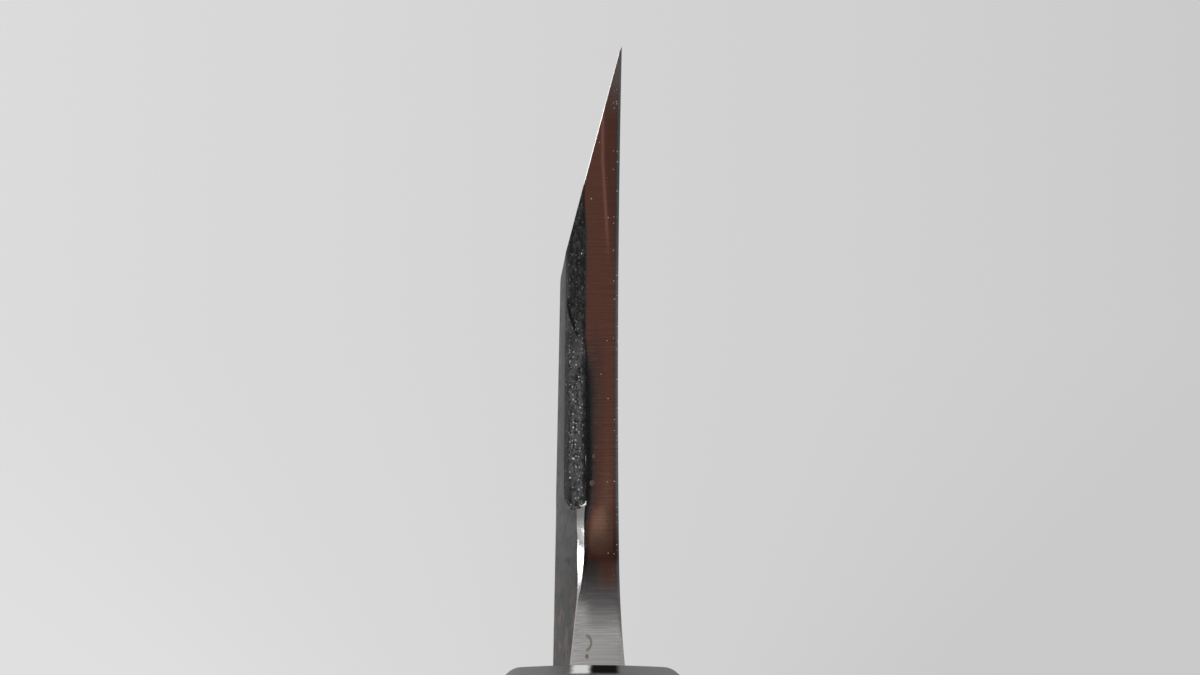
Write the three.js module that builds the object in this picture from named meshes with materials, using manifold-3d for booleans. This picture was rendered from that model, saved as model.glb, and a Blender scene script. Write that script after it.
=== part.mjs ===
// A right-handed deba kitchen knife. The single-bevel blade is soft iron with a layer of hard steel welded
// over its flat back, and its tang is bedded in an eight-sided wooden handle behind a horn ferrule.
// The knife stands on its spine side with the edge up: +Y runs from the butt to the tip, +X is the flat
// back of the blade and +Z is the edge.
import * as THREE from "three";
import { mergeVertices } from "three/addons/utils/BufferGeometryUtils.js";
import Module from "manifold-3d";

const wasm = await Module();
wasm.setup();

// Driving dimensions, in millimetres. Y counts from the heel towards the tip, X from the middle plane of
// the handle, and Z from the surface that the handle's lowest facet lies on.

// Blade outline
const BLADE_LENGTH = 180;
const HEEL_EDGE_Z = 60.9;
const HEEL_SPINE_Z = 3.4;
const TIP_Z = 13.5;
const TIP_BLUNT = 0.4;
const SPINE_REST_Y = 112; // the spine's lowest point
const SPINE_HEEL_POWER = 1.4;
const SPINE_TIP_POWER = 1.9;
const EDGE_POWER = 3;
const LEAST_FLAT_SHARE = 0.2; // of a section's height, close to the tip where the bevel takes the side

// Blade section at the heel
const BACK_X = 1.78; // the flat back
const SPINE_THICKNESS = 4.82;
const SHOULDER_THICKNESS = 3.95; // where the bevel meets the flat side
const SHOULDER_Z = 47.35;
const DISTAL_TAPER = 0.013; // thickness lost for each millimetre towards the tip
const BEVEL_ANGLE = THREE.MathUtils.degToRad(15);
const EDGE_FLAT = 0.08;
const HOLLOW_DEPTH = 0.35; // the shallow hollow in the flat back
const HOLLOW_RAMP = 25; // length over which it deepens from the heel
const HOLLOW_END_Y = 168;
const SPINE_MARGIN = 3; // flat rim of the back along the spine
const EDGE_MARGIN = 2; // flat rim of the back along the edge
const STEEL_THICKNESS = 1;

// Heel and neck
const FILLET_RADIUS = 10;
const FILLET_TOP_Z = 29.9;
const NECK_LENGTH = 16; // heel to ferrule
const NECK_SIDE_X = -1.22; // the neck's bevel side at the ferrule
const DRAW_IN_Y = 9; // where the flat side starts to draw in towards the neck
const NECK_FLARE = 0.7; // how far the back flares out at the ferrule
const CHAMFER_X = -0.45; // where the heel's face meets the chamfer on the bevel side
const CHAMFER_DEPTH = 1.2;
const CHAMFER_RATE = 0.96; // sideways run for each millimetre of depth
const CHAMFER_FADE_Z = 33.5; // the chamfer narrows from here down to the fillet
const NECK_ROOT = 3; // how deep the neck is buried in the blade
const ROOT_INSET = 0.05;

// Tang, at the ferrule and at its end
const TANG_LENGTH = 96;
const TANG_MOUTH_LOW_Z = 5;
const TANG_MOUTH_HIGH_Z = 18.9;
const TANG_END_LOW_Z = 10;
const TANG_END_HIGH_Z = 15.5;
const TANG_END_LEFT_X = -0.6;
const TANG_END_RIGHT_X = 1.2;

// Handle
const HANDLE_LENGTH = 140;
const FRONT = { width: 21.5, height: 24, corner: 6.1 };
const BUTT = { width: 23.5, height: 27.5, corner: 6.9 };
const FERRULE_LENGTH = 25;
const FERRULE_CHAMFER = 0.5;
const BUTT_CHAMFER = 1;
const TENON_RADIUS = 8.5;
const TENON_SET_BACK = 0.3;
const BORE_RADIUS = 8.8;
const ROUND_SIDES = 48;
const GLUE_LINE = 0.1;
const OVERRUN = 1; // how far a cut runs past the face it opens

// Bedding round the tang: an inner gap, the bedding's wall and an outer gap
const BED_INNER = 0.15;
const BED_OUTER = 0.55;
const SLOT_GROW = 0.75;
const BED_SET_BACK = 0.8;

// Places that follow from the dimensions
const MOUTH_Y = -NECK_LENGTH;
const FERRULE_BACK_Y = MOUTH_Y - FERRULE_LENGTH;
const BUTT_Y = MOUTH_Y - HANDLE_LENGTH;
const TANG_END_Y = MOUTH_Y - TANG_LENGTH;
const WELD_X = BACK_X - STEEL_THICKNESS;
const EDGE_DROP = HEEL_EDGE_Z - TIP_Z - TIP_BLUNT; // from the heel to the tip
const SIDE_LEAN = (SPINE_THICKNESS - SHOULDER_THICKNESS) / (SHOULDER_Z - HEEL_SPINE_Z);

const { clamp, lerp, smoothstep } = THREE.MathUtils;

// Solids

// A closed shell between a left and a right skin. Columns run along +Y, and each holds the same number of
// rows, [z, left x, right x], from low to high.
function skinGeometry(columns) {
  const rowCount = columns[0].rows.length;
  const last = columns.length - 1;
  const top = rowCount - 1;
  const positions = [];
  for (const { y, rows } of columns) {
    for (const [z, left, right] of rows) {
      positions.push(left, y, z, right, y, z);
    }
  }
  const leftOf = (column, row) => (column * rowCount + row) * 2;
  const rightOf = (column, row) => leftOf(column, row) + 1;
  const index = [];
  const quad = (a, b, c, d) => index.push(a, b, c, a, c, d);
  for (let c = 0; c < last; c++) {
    for (let r = 0; r < top; r++) {
      quad(leftOf(c, r), leftOf(c, r + 1), leftOf(c + 1, r + 1), leftOf(c + 1, r));
      quad(rightOf(c, r), rightOf(c + 1, r), rightOf(c + 1, r + 1), rightOf(c, r + 1));
    }
    quad(leftOf(c, 0), leftOf(c + 1, 0), rightOf(c + 1, 0), rightOf(c, 0));
    quad(leftOf(c, top), rightOf(c, top), rightOf(c + 1, top), leftOf(c + 1, top));
  }
  for (let r = 0; r < top; r++) {
    const above = r + 1;
    quad(leftOf(0, r), rightOf(0, r), rightOf(0, above), leftOf(0, above));
    quad(leftOf(last, r), leftOf(last, above), rightOf(last, above), rightOf(last, r));
  }
  const geometry = new THREE.BufferGeometry();
  geometry.setAttribute("position", new THREE.Float32BufferAttribute(positions, 3));
  geometry.setIndex(index);
  return geometry;
}

function solidOf(geometry) {
  const bare = geometry.clone();
  bare.deleteAttribute("normal");
  bare.deleteAttribute("uv");
  const merged = mergeVertices(bare);
  const vertProperties = new Float32Array(merged.attributes.position.array);
  const triVerts = new Uint32Array(merged.index.array);
  return new wasm.Manifold(new wasm.Mesh({ numProp: 3, vertProperties, triVerts }));
}

function geometryOf(solid) {
  const { vertProperties, triVerts } = solid.getMesh();
  const geometry = new THREE.BufferGeometry();
  geometry.setAttribute("position", new THREE.BufferAttribute(vertProperties, 3));
  geometry.setIndex(new THREE.BufferAttribute(triVerts, 1));
  geometry.computeVertexNormals();
  return geometry;
}

const skinSolid = (columns) => solidOf(skinGeometry(columns));

// A round bar along Y on the axis of the handle's front
function roundBar(radius, fromY, toY) {
  const bar = new THREE.CylinderGeometry(radius, radius, toY - fromY, ROUND_SIDES);
  bar.translate(0, (fromY + toY) / 2, FRONT.height / 2);
  return solidOf(bar);
}

// Blade surfaces

// Edge and spine heights above the table
function edgeZ(y) {
  return HEEL_EDGE_Z - EDGE_DROP * (y / BLADE_LENGTH) ** EDGE_POWER;
}

function spineZ(y) {
  if (y < SPINE_REST_Y) {
    return HEEL_SPINE_Z * (1 - y / SPINE_REST_Y) ** SPINE_HEEL_POWER;
  }
  return TIP_Z * ((y - SPINE_REST_Y) / (BLADE_LENGTH - SPINE_REST_Y)) ** SPINE_TIP_POWER;
}

// The bevel keeps its angle square to the edge, so a crosswise section shows less of it near the tip.
function bevelRate(y) {
  const slope = (EDGE_POWER * EDGE_DROP * (y / BLADE_LENGTH) ** (EDGE_POWER - 1)) / BLADE_LENGTH;
  return Math.tan(BEVEL_ANGLE) * Math.cos(Math.atan(slope));
}

// The flat side is one plane, which draws in to the neck behind the heel.
function flatSideX(y, z) {
  const plane = BACK_X - SPINE_THICKNESS + SIDE_LEAN * (z - HEEL_SPINE_Z) + DISTAL_TAPER * Math.max(y, 0);
  const share = clamp((DRAW_IN_Y - y) / (DRAW_IN_Y + NECK_LENGTH), 0, 1);
  return lerp(plane, NECK_SIDE_X, share * (2 - share));
}

const bevelX = (y, z) => BACK_X - EDGE_FLAT - (edgeZ(y) - z) * bevelRate(y);

function chamferX(y, z) {
  const fade = clamp((z - FILLET_TOP_Z) / (CHAMFER_FADE_Z - FILLET_TOP_Z), 0, 1);
  return lerp(flatSideX(0, z), CHAMFER_X, fade) - CHAMFER_RATE * y;
}

const leftX = (y, z) => Math.max(flatSideX(y, z), bevelX(y, z), chamferX(y, z));

function backX(y, z) {
  const low = spineZ(y) + SPINE_MARGIN;
  const high = edgeZ(y) - EDGE_MARGIN;
  const across = clamp((z - low) / Math.max(high - low, 1), 0, 1);
  const along = smoothstep(y, 0, HOLLOW_RAMP) * (1 - smoothstep(y, HOLLOW_END_Y - HOLLOW_RAMP, HOLLOW_END_Y));
  return BACK_X - HOLLOW_DEPTH * along * 4 * across * (1 - across);
}

// Height where the bevel meets the flat side. Close to the tip the bevel takes the whole side.
function shoulderZ(y) {
  const rate = bevelRate(y);
  const lean = flatSideX(y, 1) - flatSideX(y, 0);
  const meeting = (flatSideX(y, 0) - (BACK_X - EDGE_FLAT) + edgeZ(y) * rate) / (rate - lean);
  const lowest = lerp(spineZ(y), edgeZ(y), LEAST_FLAT_SHARE);
  return Math.max(meeting, lowest);
}

// Rows of a crosswise section: spine, flat side, shoulder, bevel, edge. Two of the rows start at the heel
// where the fillet and the chamfer's fade begin.
const rowShare = (z) => (z - HEEL_SPINE_Z) / (SHOULDER_Z - HEEL_SPINE_Z);
const FLAT_ROWS = [0, 0.07, 0.25, 0.43, rowShare(FILLET_TOP_Z), rowShare(CHAMFER_FADE_Z), 0.85];
const BEVEL_ROWS = [0, 0.3, 0.6, 0.85, 1];

function bladeColumn(y) {
  const shoulder = shoulderZ(y);
  const heights = [
    ...FLAT_ROWS.map((share) => lerp(spineZ(y), shoulder, share)),
    ...BEVEL_ROWS.map((share) => lerp(shoulder, edgeZ(y), share)),
  ];
  return { y, rows: heights.map((z) => [z, leftX(y, z), backX(y, z)]) };
}

function bladeSolid() {
  const heelSteps = 4;
  const bladeSteps = 26;
  const tipCrowding = 1.4; // above 1, the columns draw together towards the tip
  const stations = [0];
  for (let i = 0; i < heelSteps; i++) {
    stations.push(lerp(CHAMFER_DEPTH, DRAW_IN_Y, i / heelSteps));
  }
  for (let i = 0; i <= bladeSteps; i++) {
    const eased = 1 - (1 - i / bladeSteps) ** tipCrowding;
    stations.push(lerp(DRAW_IN_Y, BLADE_LENGTH, eased));
  }
  return skinSolid(stations.map(bladeColumn));
}

// Neck and tang

function neckBackX(y) {
  const share = -y / NECK_LENGTH;
  return BACK_X + NECK_FLARE * share * (2 - share);
}

const neckLowZ = (y) => lerp(HEEL_SPINE_Z, TANG_MOUTH_LOW_Z, -y / NECK_LENGTH);

function neckColumn(y, highZ) {
  const lowZ = neckLowZ(y);
  const rows = [lowZ, highZ].map((z) => [z, flatSideX(y, z), neckBackX(y)]);
  return { y, rows };
}

// The tang's section at y, with every side moved out by grow
function tangColumn(y, grow) {
  const share = (MOUTH_Y - y) / TANG_LENGTH;
  const left = lerp(NECK_SIDE_X, TANG_END_LEFT_X, share) - grow;
  const right = lerp(neckBackX(MOUTH_Y), TANG_END_RIGHT_X, share) + grow;
  const lowZ = lerp(TANG_MOUTH_LOW_Z, TANG_END_LOW_Z, share) - grow;
  const highZ = lerp(TANG_MOUTH_HIGH_Z, TANG_END_HIGH_Z, share) + grow;
  const rows = [lowZ, highZ].map((z) => [z, left, right]);
  return { y, rows };
}

// The tang grown by a clearance, from its end to a plane near the ferrule's mouth
const grownTang = (grow, toY) => skinSolid([tangColumn(TANG_END_Y - grow, grow), tangColumn(toY, grow)]);

function neckSolid() {
  const filletSteps = 10;
  const columns = [tangColumn(TANG_END_Y, 0), neckColumn(MOUTH_Y, TANG_MOUTH_HIGH_Z)];
  for (let i = 0; i <= filletSteps; i++) {
    const angle = (Math.PI / 2) * (1 - i / filletSteps);
    const y = FILLET_RADIUS * (Math.cos(angle) - 1);
    columns.push(neckColumn(y, FILLET_TOP_Z - FILLET_RADIUS * Math.sin(angle)));
  }
  const [low, high] = columns.at(-1).rows;
  const root = [
    [low[0] + ROOT_INSET, low[1] + ROOT_INSET, low[2] - ROOT_INSET],
    [high[0] - ROOT_INSET, high[1] + ROOT_INSET, high[2] - ROOT_INSET],
  ];
  columns.push({ y: NECK_ROOT, rows: root });
  return skinSolid(columns);
}

// Everything on the back side of the weld, from the foot of the fillet to past the tip
function steelSide() {
  const depth = 10;
  const length = BLADE_LENGTH + FILLET_RADIUS + depth;
  const height = HEEL_EDGE_Z + 2 * depth;
  const side = new THREE.BoxGeometry(depth, length, height);
  side.translate(WELD_X + depth / 2, length / 2 - FILLET_RADIUS, HEEL_EDGE_Z / 2);
  return solidOf(side);
}

// Handle

// Eight-sided section of the handle at y, drawn in by inset for a chamfer
function handleColumn(y, inset) {
  const share = (MOUTH_Y - y) / HANDLE_LENGTH;
  const half = lerp(FRONT.width, BUTT.width, share) / 2 - inset;
  const height = lerp(FRONT.height, BUTT.height, share);
  const corner = lerp(FRONT.corner, BUTT.corner, share);
  const narrow = half - corner + inset;
  const rows = [
    [inset, -narrow, narrow],
    [corner, -half, half],
    [height - corner, -half, half],
    [height - inset, -narrow, narrow],
  ];
  return { y, rows };
}

function ferruleSolid() {
  const ring = skinSolid([
    handleColumn(FERRULE_BACK_Y, 0),
    handleColumn(MOUTH_Y - FERRULE_CHAMFER, 0),
    handleColumn(MOUTH_Y, FERRULE_CHAMFER),
  ]);
  return ring.subtract(roundBar(BORE_RADIUS, FERRULE_BACK_Y - OVERRUN, MOUTH_Y + OVERRUN));
}

function handleSolid() {
  const shoulderY = FERRULE_BACK_Y - GLUE_LINE;
  const grip = skinSolid([
    handleColumn(BUTT_Y, BUTT_CHAMFER),
    handleColumn(BUTT_Y + BUTT_CHAMFER, 0),
    handleColumn(shoulderY, 0),
  ]);
  const tenon = roundBar(TENON_RADIUS, shoulderY - OVERRUN, MOUTH_Y - TENON_SET_BACK);
  return grip.add(tenon).subtract(grownTang(SLOT_GROW, MOUTH_Y + OVERRUN));
}

function beddingSolid() {
  const outer = grownTang(BED_OUTER, MOUTH_Y - BED_SET_BACK);
  return outer.subtract(grownTang(BED_INNER, MOUTH_Y + OVERRUN));
}

// The knife

function piece(name, solid, look) {
  const mesh = new THREE.Mesh(geometryOf(solid), new THREE.MeshStandardMaterial(look));
  mesh.name = name;
  return mesh;
}

const forged = bladeSolid().add(neckSolid());
const steel = steelSide();

const knife = new THREE.Group();
knife.add(
  piece("soft_iron_body", forged.subtract(steel), { color: 0x75726e, roughness: 0.42, metalness: 1 }),
  piece("edge_steel", forged.intersect(steel), { color: 0x9a9895, roughness: 0.28, metalness: 1 }),
  piece("horn_ferrule", ferruleSolid(), { color: 0x1b1a1a, roughness: 0.3, metalness: 0 }),
  piece("handle_body", handleSolid(), { color: 0xb58e73, roughness: 0.6, metalness: 0 }),
  piece("tang_bedding", beddingSolid(), { color: 0x3a2c20, roughness: 0.7, metalness: 0 }),
);

// The origin lies under the middle of the knife's length.
knife.position.y = -(BLADE_LENGTH + BUTT_Y) / 2;

export default knife;
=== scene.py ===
"""Finished surfaces of a right-handed deba knife, laid out as a Blender add-on and run as a script.

Shapes are worked out in millimetres in the blade's own frame: y counts from the heel towards the tip, x from
the middle plane of the handle towards the flat back, and z from the table up to the edge.
"""

import math
from dataclasses import dataclass
from functools import cache, cached_property

import bmesh
import bpy
from bpy.props import FloatProperty, FloatVectorProperty, PointerProperty
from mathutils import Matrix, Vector, noise


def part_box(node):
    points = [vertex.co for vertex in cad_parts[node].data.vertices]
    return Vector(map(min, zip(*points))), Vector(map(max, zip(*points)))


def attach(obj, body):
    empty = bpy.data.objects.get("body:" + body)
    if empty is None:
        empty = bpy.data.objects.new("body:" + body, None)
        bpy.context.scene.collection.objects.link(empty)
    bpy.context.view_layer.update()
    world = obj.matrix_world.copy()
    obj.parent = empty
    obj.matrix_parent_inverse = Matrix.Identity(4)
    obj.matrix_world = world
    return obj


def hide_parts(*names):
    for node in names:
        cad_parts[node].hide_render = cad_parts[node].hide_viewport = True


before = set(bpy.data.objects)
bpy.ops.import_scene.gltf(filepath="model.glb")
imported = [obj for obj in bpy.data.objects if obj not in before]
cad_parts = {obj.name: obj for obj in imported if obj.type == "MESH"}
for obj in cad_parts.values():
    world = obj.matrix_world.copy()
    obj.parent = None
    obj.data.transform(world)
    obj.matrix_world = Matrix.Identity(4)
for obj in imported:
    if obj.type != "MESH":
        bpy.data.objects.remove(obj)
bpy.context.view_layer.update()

bl_info = {
    "name": "Deba Knife",
    "version": (1, 0, 0),
    "blender": (4, 5, 0),
    "location": "View3D > Sidebar > Knife",
    "description": "Builds the finished surfaces of a single-bevel kitchen knife round its solids",
    "category": "Add Mesh",
}

MM = 0.001
TINY = 1e-6
BODY = "root"


# Settings


def amount(name, description, value, least=0.0, **kind):
    return FloatProperty(name=name, description=description, default=value, min=least, **kind)


def size(name, description, millimetres):
    return amount(name, description, millimetres * MM, precision=5, unit="LENGTH")


def place_x(name, description, millimetres):
    """A place on either side of the handle's middle plane."""
    return amount(name, description, millimetres * MM, least=-1.0, precision=5, unit="LENGTH")


def colour(name, description, red, green, blue):
    return FloatVectorProperty(
        name=name, description=description, default=(red, green, blue), size=3, min=0, max=1, subtype="COLOR"
    )


class BladeSizes(bpy.types.PropertyGroup):
    """Sizes of the blade, its heel, neck and tang"""

    heel_spine_z: size("Spine at heel", "Height of the spine above the table at the heel", 3.4)
    tip_z: size("Tip height", "Height of the tip above the table", 13.5)
    tip_blunt: size("Tip flat", "Height of the small flat at the tip", 0.4)
    spine_rest_y: size("Spine low point", "Distance from the heel to the spine's lowest point", 112)
    back_x: place_x("Flat back", "Place of the flat back beside the handle's middle plane", 1.78)
    spine_thickness: size("Spine thickness", "Thickness of the spine at the heel", 4.82)
    shoulder_thickness: size("Shoulder thickness", "Thickness where the bevel starts at the heel", 3.95)
    shoulder_z: size("Shoulder height", "Height at the heel where the bevel starts", 47.35)
    edge_flat: size("Edge flat", "Width that the bevel leaves at the edge", 0.08)
    edge_bevel: size("Small edge bevel", "Height of the small second bevel along the edge", 0.35)
    hollow_depth: size("Back hollow", "Depth of the shallow hollow in the flat back", 0.35)
    heel_hollow: size("Back hollow at heel", "Depth of that hollow where it runs out at the heel", 0.235)
    fillet_radius: size("Heel fillet", "Radius of the round between the heel and the neck", 10)
    fillet_top_z: size("Fillet top", "Height where that round starts", 29.9)
    neck_length: size("Neck length", "Distance from the heel to the ferrule", 16)
    neck_side_x: place_x("Neck side", "Place of the neck's bevel side at the ferrule", -1.22)
    draw_in_y: size("Draw-in", "Distance from the heel where the flat side starts to draw in", 9)
    heel_draw: size("Heel draw-in", "How far the side is drawn in further at the fillet", 1.02)
    chamfer_x: place_x("Heel chamfer", "Where the heel's face meets its chamfer on the bevel side", -0.45)
    forged_depth: size("Forged chamfer depth", "Depth of the chamfer that keeps its forge scale", 1.2)
    ground_depth: size("Ground chamfer depth", "Depth of the polished chamfer at the fillet", 0.45)
    back_round: size("Back corner", "Width of the round between the heel's face and the flat back", 0.32)
    bevel_corner: size("Bevel corner", "Small bevel between the heel's face and the blade's bevel", 0.013)
    spine_corner: size("Spine corner", "Bevel along both corners of the spine", 0.25)
    scale_relief: size("Scale relief", "Height of the lumps in the forge scale", 0.04)
    tang_length: size("Tang length", "Length of the tang inside the handle", 96)


class HandleSizes(bpy.types.PropertyGroup):
    """Sizes of the handle and its ferrule"""

    front_width: size("Front width", "Width of the handle at the ferrule's mouth", 21.5)
    front_height: size("Front height", "Height of the handle at the ferrule's mouth", 24)
    front_corner: size("Front corner", "Cut of the corner facets at the ferrule's mouth", 6.1)
    butt_width: size("Butt width", "Width of the handle at the butt", 23.5)
    butt_height: size("Butt height", "Height of the handle at the butt", 27.5)
    butt_corner: size("Butt corner", "Cut of the corner facets at the butt", 6.9)
    mouth_round: size("Mouth round", "Radius of the ferrule's front edge", 0.45)
    butt_round: size("Butt round", "Radius of the edge round the butt", 1.3)
    horn_arris: size("Horn arris", "Radius of the long corners of the ferrule", 1.3)
    wood_arris: size("Wood arris", "Radius of the long corners of the handle", 1.1)
    crown: size("Facet crown", "How far each facet falls away towards its corners", 0.12)
    seam_round: size("Seam round", "Radius of the edges on both sides of the glue line", 0.12)
    tenon_radius: size("Tenon radius", "Radius of the tenon that the ferrule sits on", 8.5)
    bore_radius: size("Bore radius", "Radius of the ferrule's bore", 8.8)
    tenon_set_back: size("Tenon set-back", "How far the tenon's end lies behind the ferrule's mouth", 0.3)
    slot_grow: size("Slot clearance", "Clearance of the tang's slot round the tang", 0.75)


class KnifeColours(bpy.types.PropertyGroup):
    """Colours of the knife's finishes"""

    iron: colour("Soft iron", "Satin side of the soft iron", 0.40, 0.39, 0.38)
    patina: colour("Patina", "Grey patina of the iron near the neck", 0.066, 0.065, 0.064)
    haze: colour("Bevel haze", "Stone haze on the iron part of the bevel", 0.36, 0.355, 0.35)
    steel: colour("Hard steel", "Ground hard steel", 0.60, 0.595, 0.585)
    polish: colour("Heel polish", "Brushed face of the heel and fillet", 0.485, 0.475, 0.467)
    scale: colour("Forge scale", "Dark oxide left by the forge", 0.015, 0.015, 0.0155)
    # bright grains: painted glints in the forge scale, and dust on the heel
    dust_and_glint: colour("Specks", "Bright grains in the scale and dust on the metal", 0.62, 0.61, 0.60)
    bloom: colour("Rust bloom", "Thin reddish bloom low on the neck", 0.115, 0.082, 0.068)
    # painted shade: a brown tone at the foot of the heel, where its reflection is darker
    foot_shade: colour("Browning", "Thin brown stain at the foot of the heel", 0.150, 0.112, 0.104)
    rust: colour("Rust", "Small rust stains on the heel", 0.16, 0.075, 0.02)
    tarnish: colour("Tarnish", "Yellow-grey stains low on the fillet", 0.17, 0.135, 0.07)
    horn: colour("Horn", "Body of the black horn", 0.012, 0.0112, 0.0105)
    # painted highlight on the ferrule's top next to the neck
    horn_highlight: colour("Pale horn", "Pale streak of the horn at the neck", 0.88, 0.88, 0.87)
    horn_streak: colour("Horn streaks", "Paler streaks in the horn", 0.045, 0.036, 0.028)
    wood: colour("Wood", "Early wood of the handle", 0.50, 0.29, 0.185)
    grain: colour("Wood grain", "Late wood and pores of the handle", 0.34, 0.18, 0.105)
    resin: colour("Bedding", "Resin round the tang", 0.05, 0.03, 0.016)


class StudioSettings(bpy.types.PropertyGroup):
    """Camera, lamp, card, floor and background"""

    distance: size("Camera distance", "From the camera to the heel", 325)
    height: size("Camera height", "Height of the camera", 43.09)
    aside: place_x("Camera aside", "Camera's place beside the handle", 0.44)
    lens: amount("Lens", "Focal length of the camera", 158.9, unit="CAMERA")
    level: amount("Background level", "Brightness of the pale background", 0.655, subtype="FACTOR")
    tilt: amount("Background tilt", "How much paler the left side is", 0.5, subtype="FACTOR")
    key: amount("Key lamp", "Power of the soft lamp on the left", 1.15, unit="POWER")
    floor: colour("Floor", "Pale floor under the knife", 0.93, 0.93, 0.93)
    warm_card: colour("Warm card", "Warm brown of the card behind the camera", 0.185, 0.077, 0.055)
    dim_card: colour("Dim card", "Dim grey of that card round its warm middle", 0.068, 0.062, 0.065)
    dark_card: colour("Dark card", "Dark ends of that card", 0.018, 0.017, 0.018)


# Shape helpers


def clamp(value, low=0.0, high=1.0):
    return max(low, min(high, value))


def lerp(start, end, share):
    return start + (end - start) * share


def ramp(value, start, end):
    """Goes straight from 0 at start to 1 at end."""
    return clamp((value - start) / (end - start))


def smoothstep(value, start, end):
    """Goes smoothly from 0 at start to 1 at end."""
    share = ramp(value, start, end)
    return share * share * (3 - 2 * share)


def ease_out(share):
    """Starts fast and comes to rest at 1."""
    return share * (2 - share)


def hump(share):
    """Goes from 0 up to 1 in the middle and back to 0."""
    return 4 * share * (1 - share)


def soft_max(first, second, width):
    """The larger value, eased over a corner where the two are closer than the width."""
    near = max(width - abs(first - second), 0) / width
    return max(first, second) + near * near * width / 4


def curve(knots, value):
    """A smooth curve through knots of place and height, level before the first and after the last."""
    height = knots[0][1]
    for (start, low), (end, high) in zip(knots, knots[1:]):
        if value > start:
            height = lerp(low, high, smoothstep(value, start, end))
    return height


class Sizes:
    """One of the settings groups in millimetres."""

    def __init__(self, settings):
        for name in type(settings).__annotations__:
            setattr(self, name, getattr(settings, name) / MM)


def heel_y():
    """The heel's place along the knife, from the middle of the knife's length, in millimetres."""
    fillet = bpy.context.scene.deba_blade.fillet_radius
    return (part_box("edge_steel")[0].y + fillet) / MM


def link(made):
    bpy.context.scene.collection.objects.link(made)
    return made


class Shell:
    """Gathers the vertices and faces of one closed piece, in millimetres in the blade's frame."""

    def __init__(self):
        self.positions = []
        self.numbers = {}
        self.faces = []
        self.finishes = []

    def vertex(self, key, position):
        if key not in self.numbers:
            self.numbers[key] = len(self.positions)
            self.positions.append(position)
        return self.numbers[key]

    def face(self, corners, finish):
        """Adds a face, without the corners that fall together. A face with no area left is dropped."""
        ring = [corner for number, corner in enumerate(corners) if corner != corners[number - 1]]
        if len(ring) > 2:
            self.faces.append(ring)
            self.finishes.append(finish)

    def strip(self, first, second, finish):
        """Faces between two lines of vertices."""
        for corners in zip(first, first[1:], second[1:], second):
            self.face(corners, finish)

    def piece(self, name, materials, sharp_angle):
        """Makes the object. Materials are by finish, and edges sharper than the angle stay crisp."""
        mesh = bpy.data.meshes.new(name)
        heel = heel_y()
        mesh.from_pydata([Vector((x, y + heel, z)) * MM for x, y, z in self.positions], [], self.faces)
        order = list(materials)
        for finish in order:
            mesh.materials.append(materials[finish])
        mesh.polygons.foreach_set("material_index", [order.index(finish) for finish in self.finishes])
        work = bmesh.new()
        work.from_mesh(mesh)
        bmesh.ops.recalc_face_normals(work, faces=work.faces)
        for face in work.faces:
            face.smooth = True
        for edge in work.edges:
            if not edge.is_manifold:
                raise RuntimeError(f"{name} is not closed near {edge.verts[0].co[:]}")
            edge.smooth = edge.calc_face_angle() < sharp_angle
        work.to_mesh(mesh)
        work.free()
        return link(bpy.data.objects.new(name, mesh))


# Blade

SPINE_HEEL_POWER = 1.4
SPINE_TIP_POWER = 1.9
EDGE_POWER = 3
LEAST_FLAT_SHARE = 0.2  # the bevel leaves at least this share of the height to the flat side
DISTAL_TAPER = 0.013  # the blade gets thinner by this for each millimetre towards the tip
SHOULDER_SOFT = 0.07  # the shoulder is eased where the side and the bevel are closer than this
BEVEL_ANGLE = math.radians(15)
SMALL_BEVEL_SHARE = 0.3  # the small second bevel takes at most this share of the steel's height
EDGE_SHARE = 0.25  # and leaves this share of the edge flat
SPINE_CORNER_SHARE = 0.2  # a corner of the spine takes at most this share of the thickness
HOLLOW_RAMP = 25  # the hollow deepens over this length at both ends
HOLLOW_END = 12  # and ends this far from the tip
SPINE_MARGIN = 3  # width of the flat rims along the spine and the edge
EDGE_MARGIN = 2
HOLLOW_FADE = 5  # the hollow runs out on the neck over this length
NECK_FLARE = 0.7
TANG_LOW = (5, 10)  # at the ferrule's mouth and at the tang's end
TANG_HIGH = (18.9, 15.5)
TANG_LEFT_END = -0.6
TANG_RIGHT_END = 1.2
FAN_END_Y = 12  # the fan of lines round the fillet ends here
DRAW_RUNS = (-9.3, -1.4)  # the side draws in further between these runs
DRAW_KNOTS = ((0.8, 1), (1.4, 0.88), (2.7, 0.88), (4.2, 0))  # run, and share that is left above the fillet
DRAW_REACH = 2.5  # the further draw-in fades over this depth
FINE_CHAMFER = 0.12  # depth of the chamfer along the neck
FINE_CHAMFER_WIDTHS = (0.09, 0.15)  # its width there and where it starts to grow
FINE_CHAMFER_END = 0.3  # share of the growth at which the second width is reached
GROUND_RUNS = (-2.8, -0.2)  # the polished chamfer grows from the fine one between these runs
SHALLOW_RUNS = (0.8, 1.15)  # and gets shallower between these
SHALLOW_SHARE = 0.7
GROUND_SHIFT = 0.09  # its corner lies this much further left than the forged one's
GROUND_SHIFT_RUNS = (2, 3.5)
STEP_RUNS = (2.8, 2.92, 3.04)  # where the polished chamfer steps up to the forged one
FORGED_WAVE = 0.03  # the forged chamfer's corner wanders by this
FORGED_WAVE_RATE = 0.9
FORGED_WAVE_RUNS = (3, 5)
TOP_BEND = 0.22  # the forged chamfer narrows by this at its top
TOP_BEND_RUNS = (20.2, 22.1)
SCALE_RUNS = (3, 4)  # the lumps of the forge scale grow between these runs
SCALE_LUMPS = ((2.1, 1, 3), (5.7, 0.6, 7))  # lumps for each millimetre, weight and seed
NARROW_ROUND = ((-4, 0.01), (0.5, 0.4), (3, 0.45), (14, 0.05))  # run, and width of the round on the left
NARROW_SLOPE = 0.1  # its depth for each millimetre of width
GENTLE_ROUND = ((1.5, 0), (5, 0.14), (10, 0.14), (15, 0))  # run, and depth of the gentle round on the left
GENTLE_WIDTH = 1.2
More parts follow.
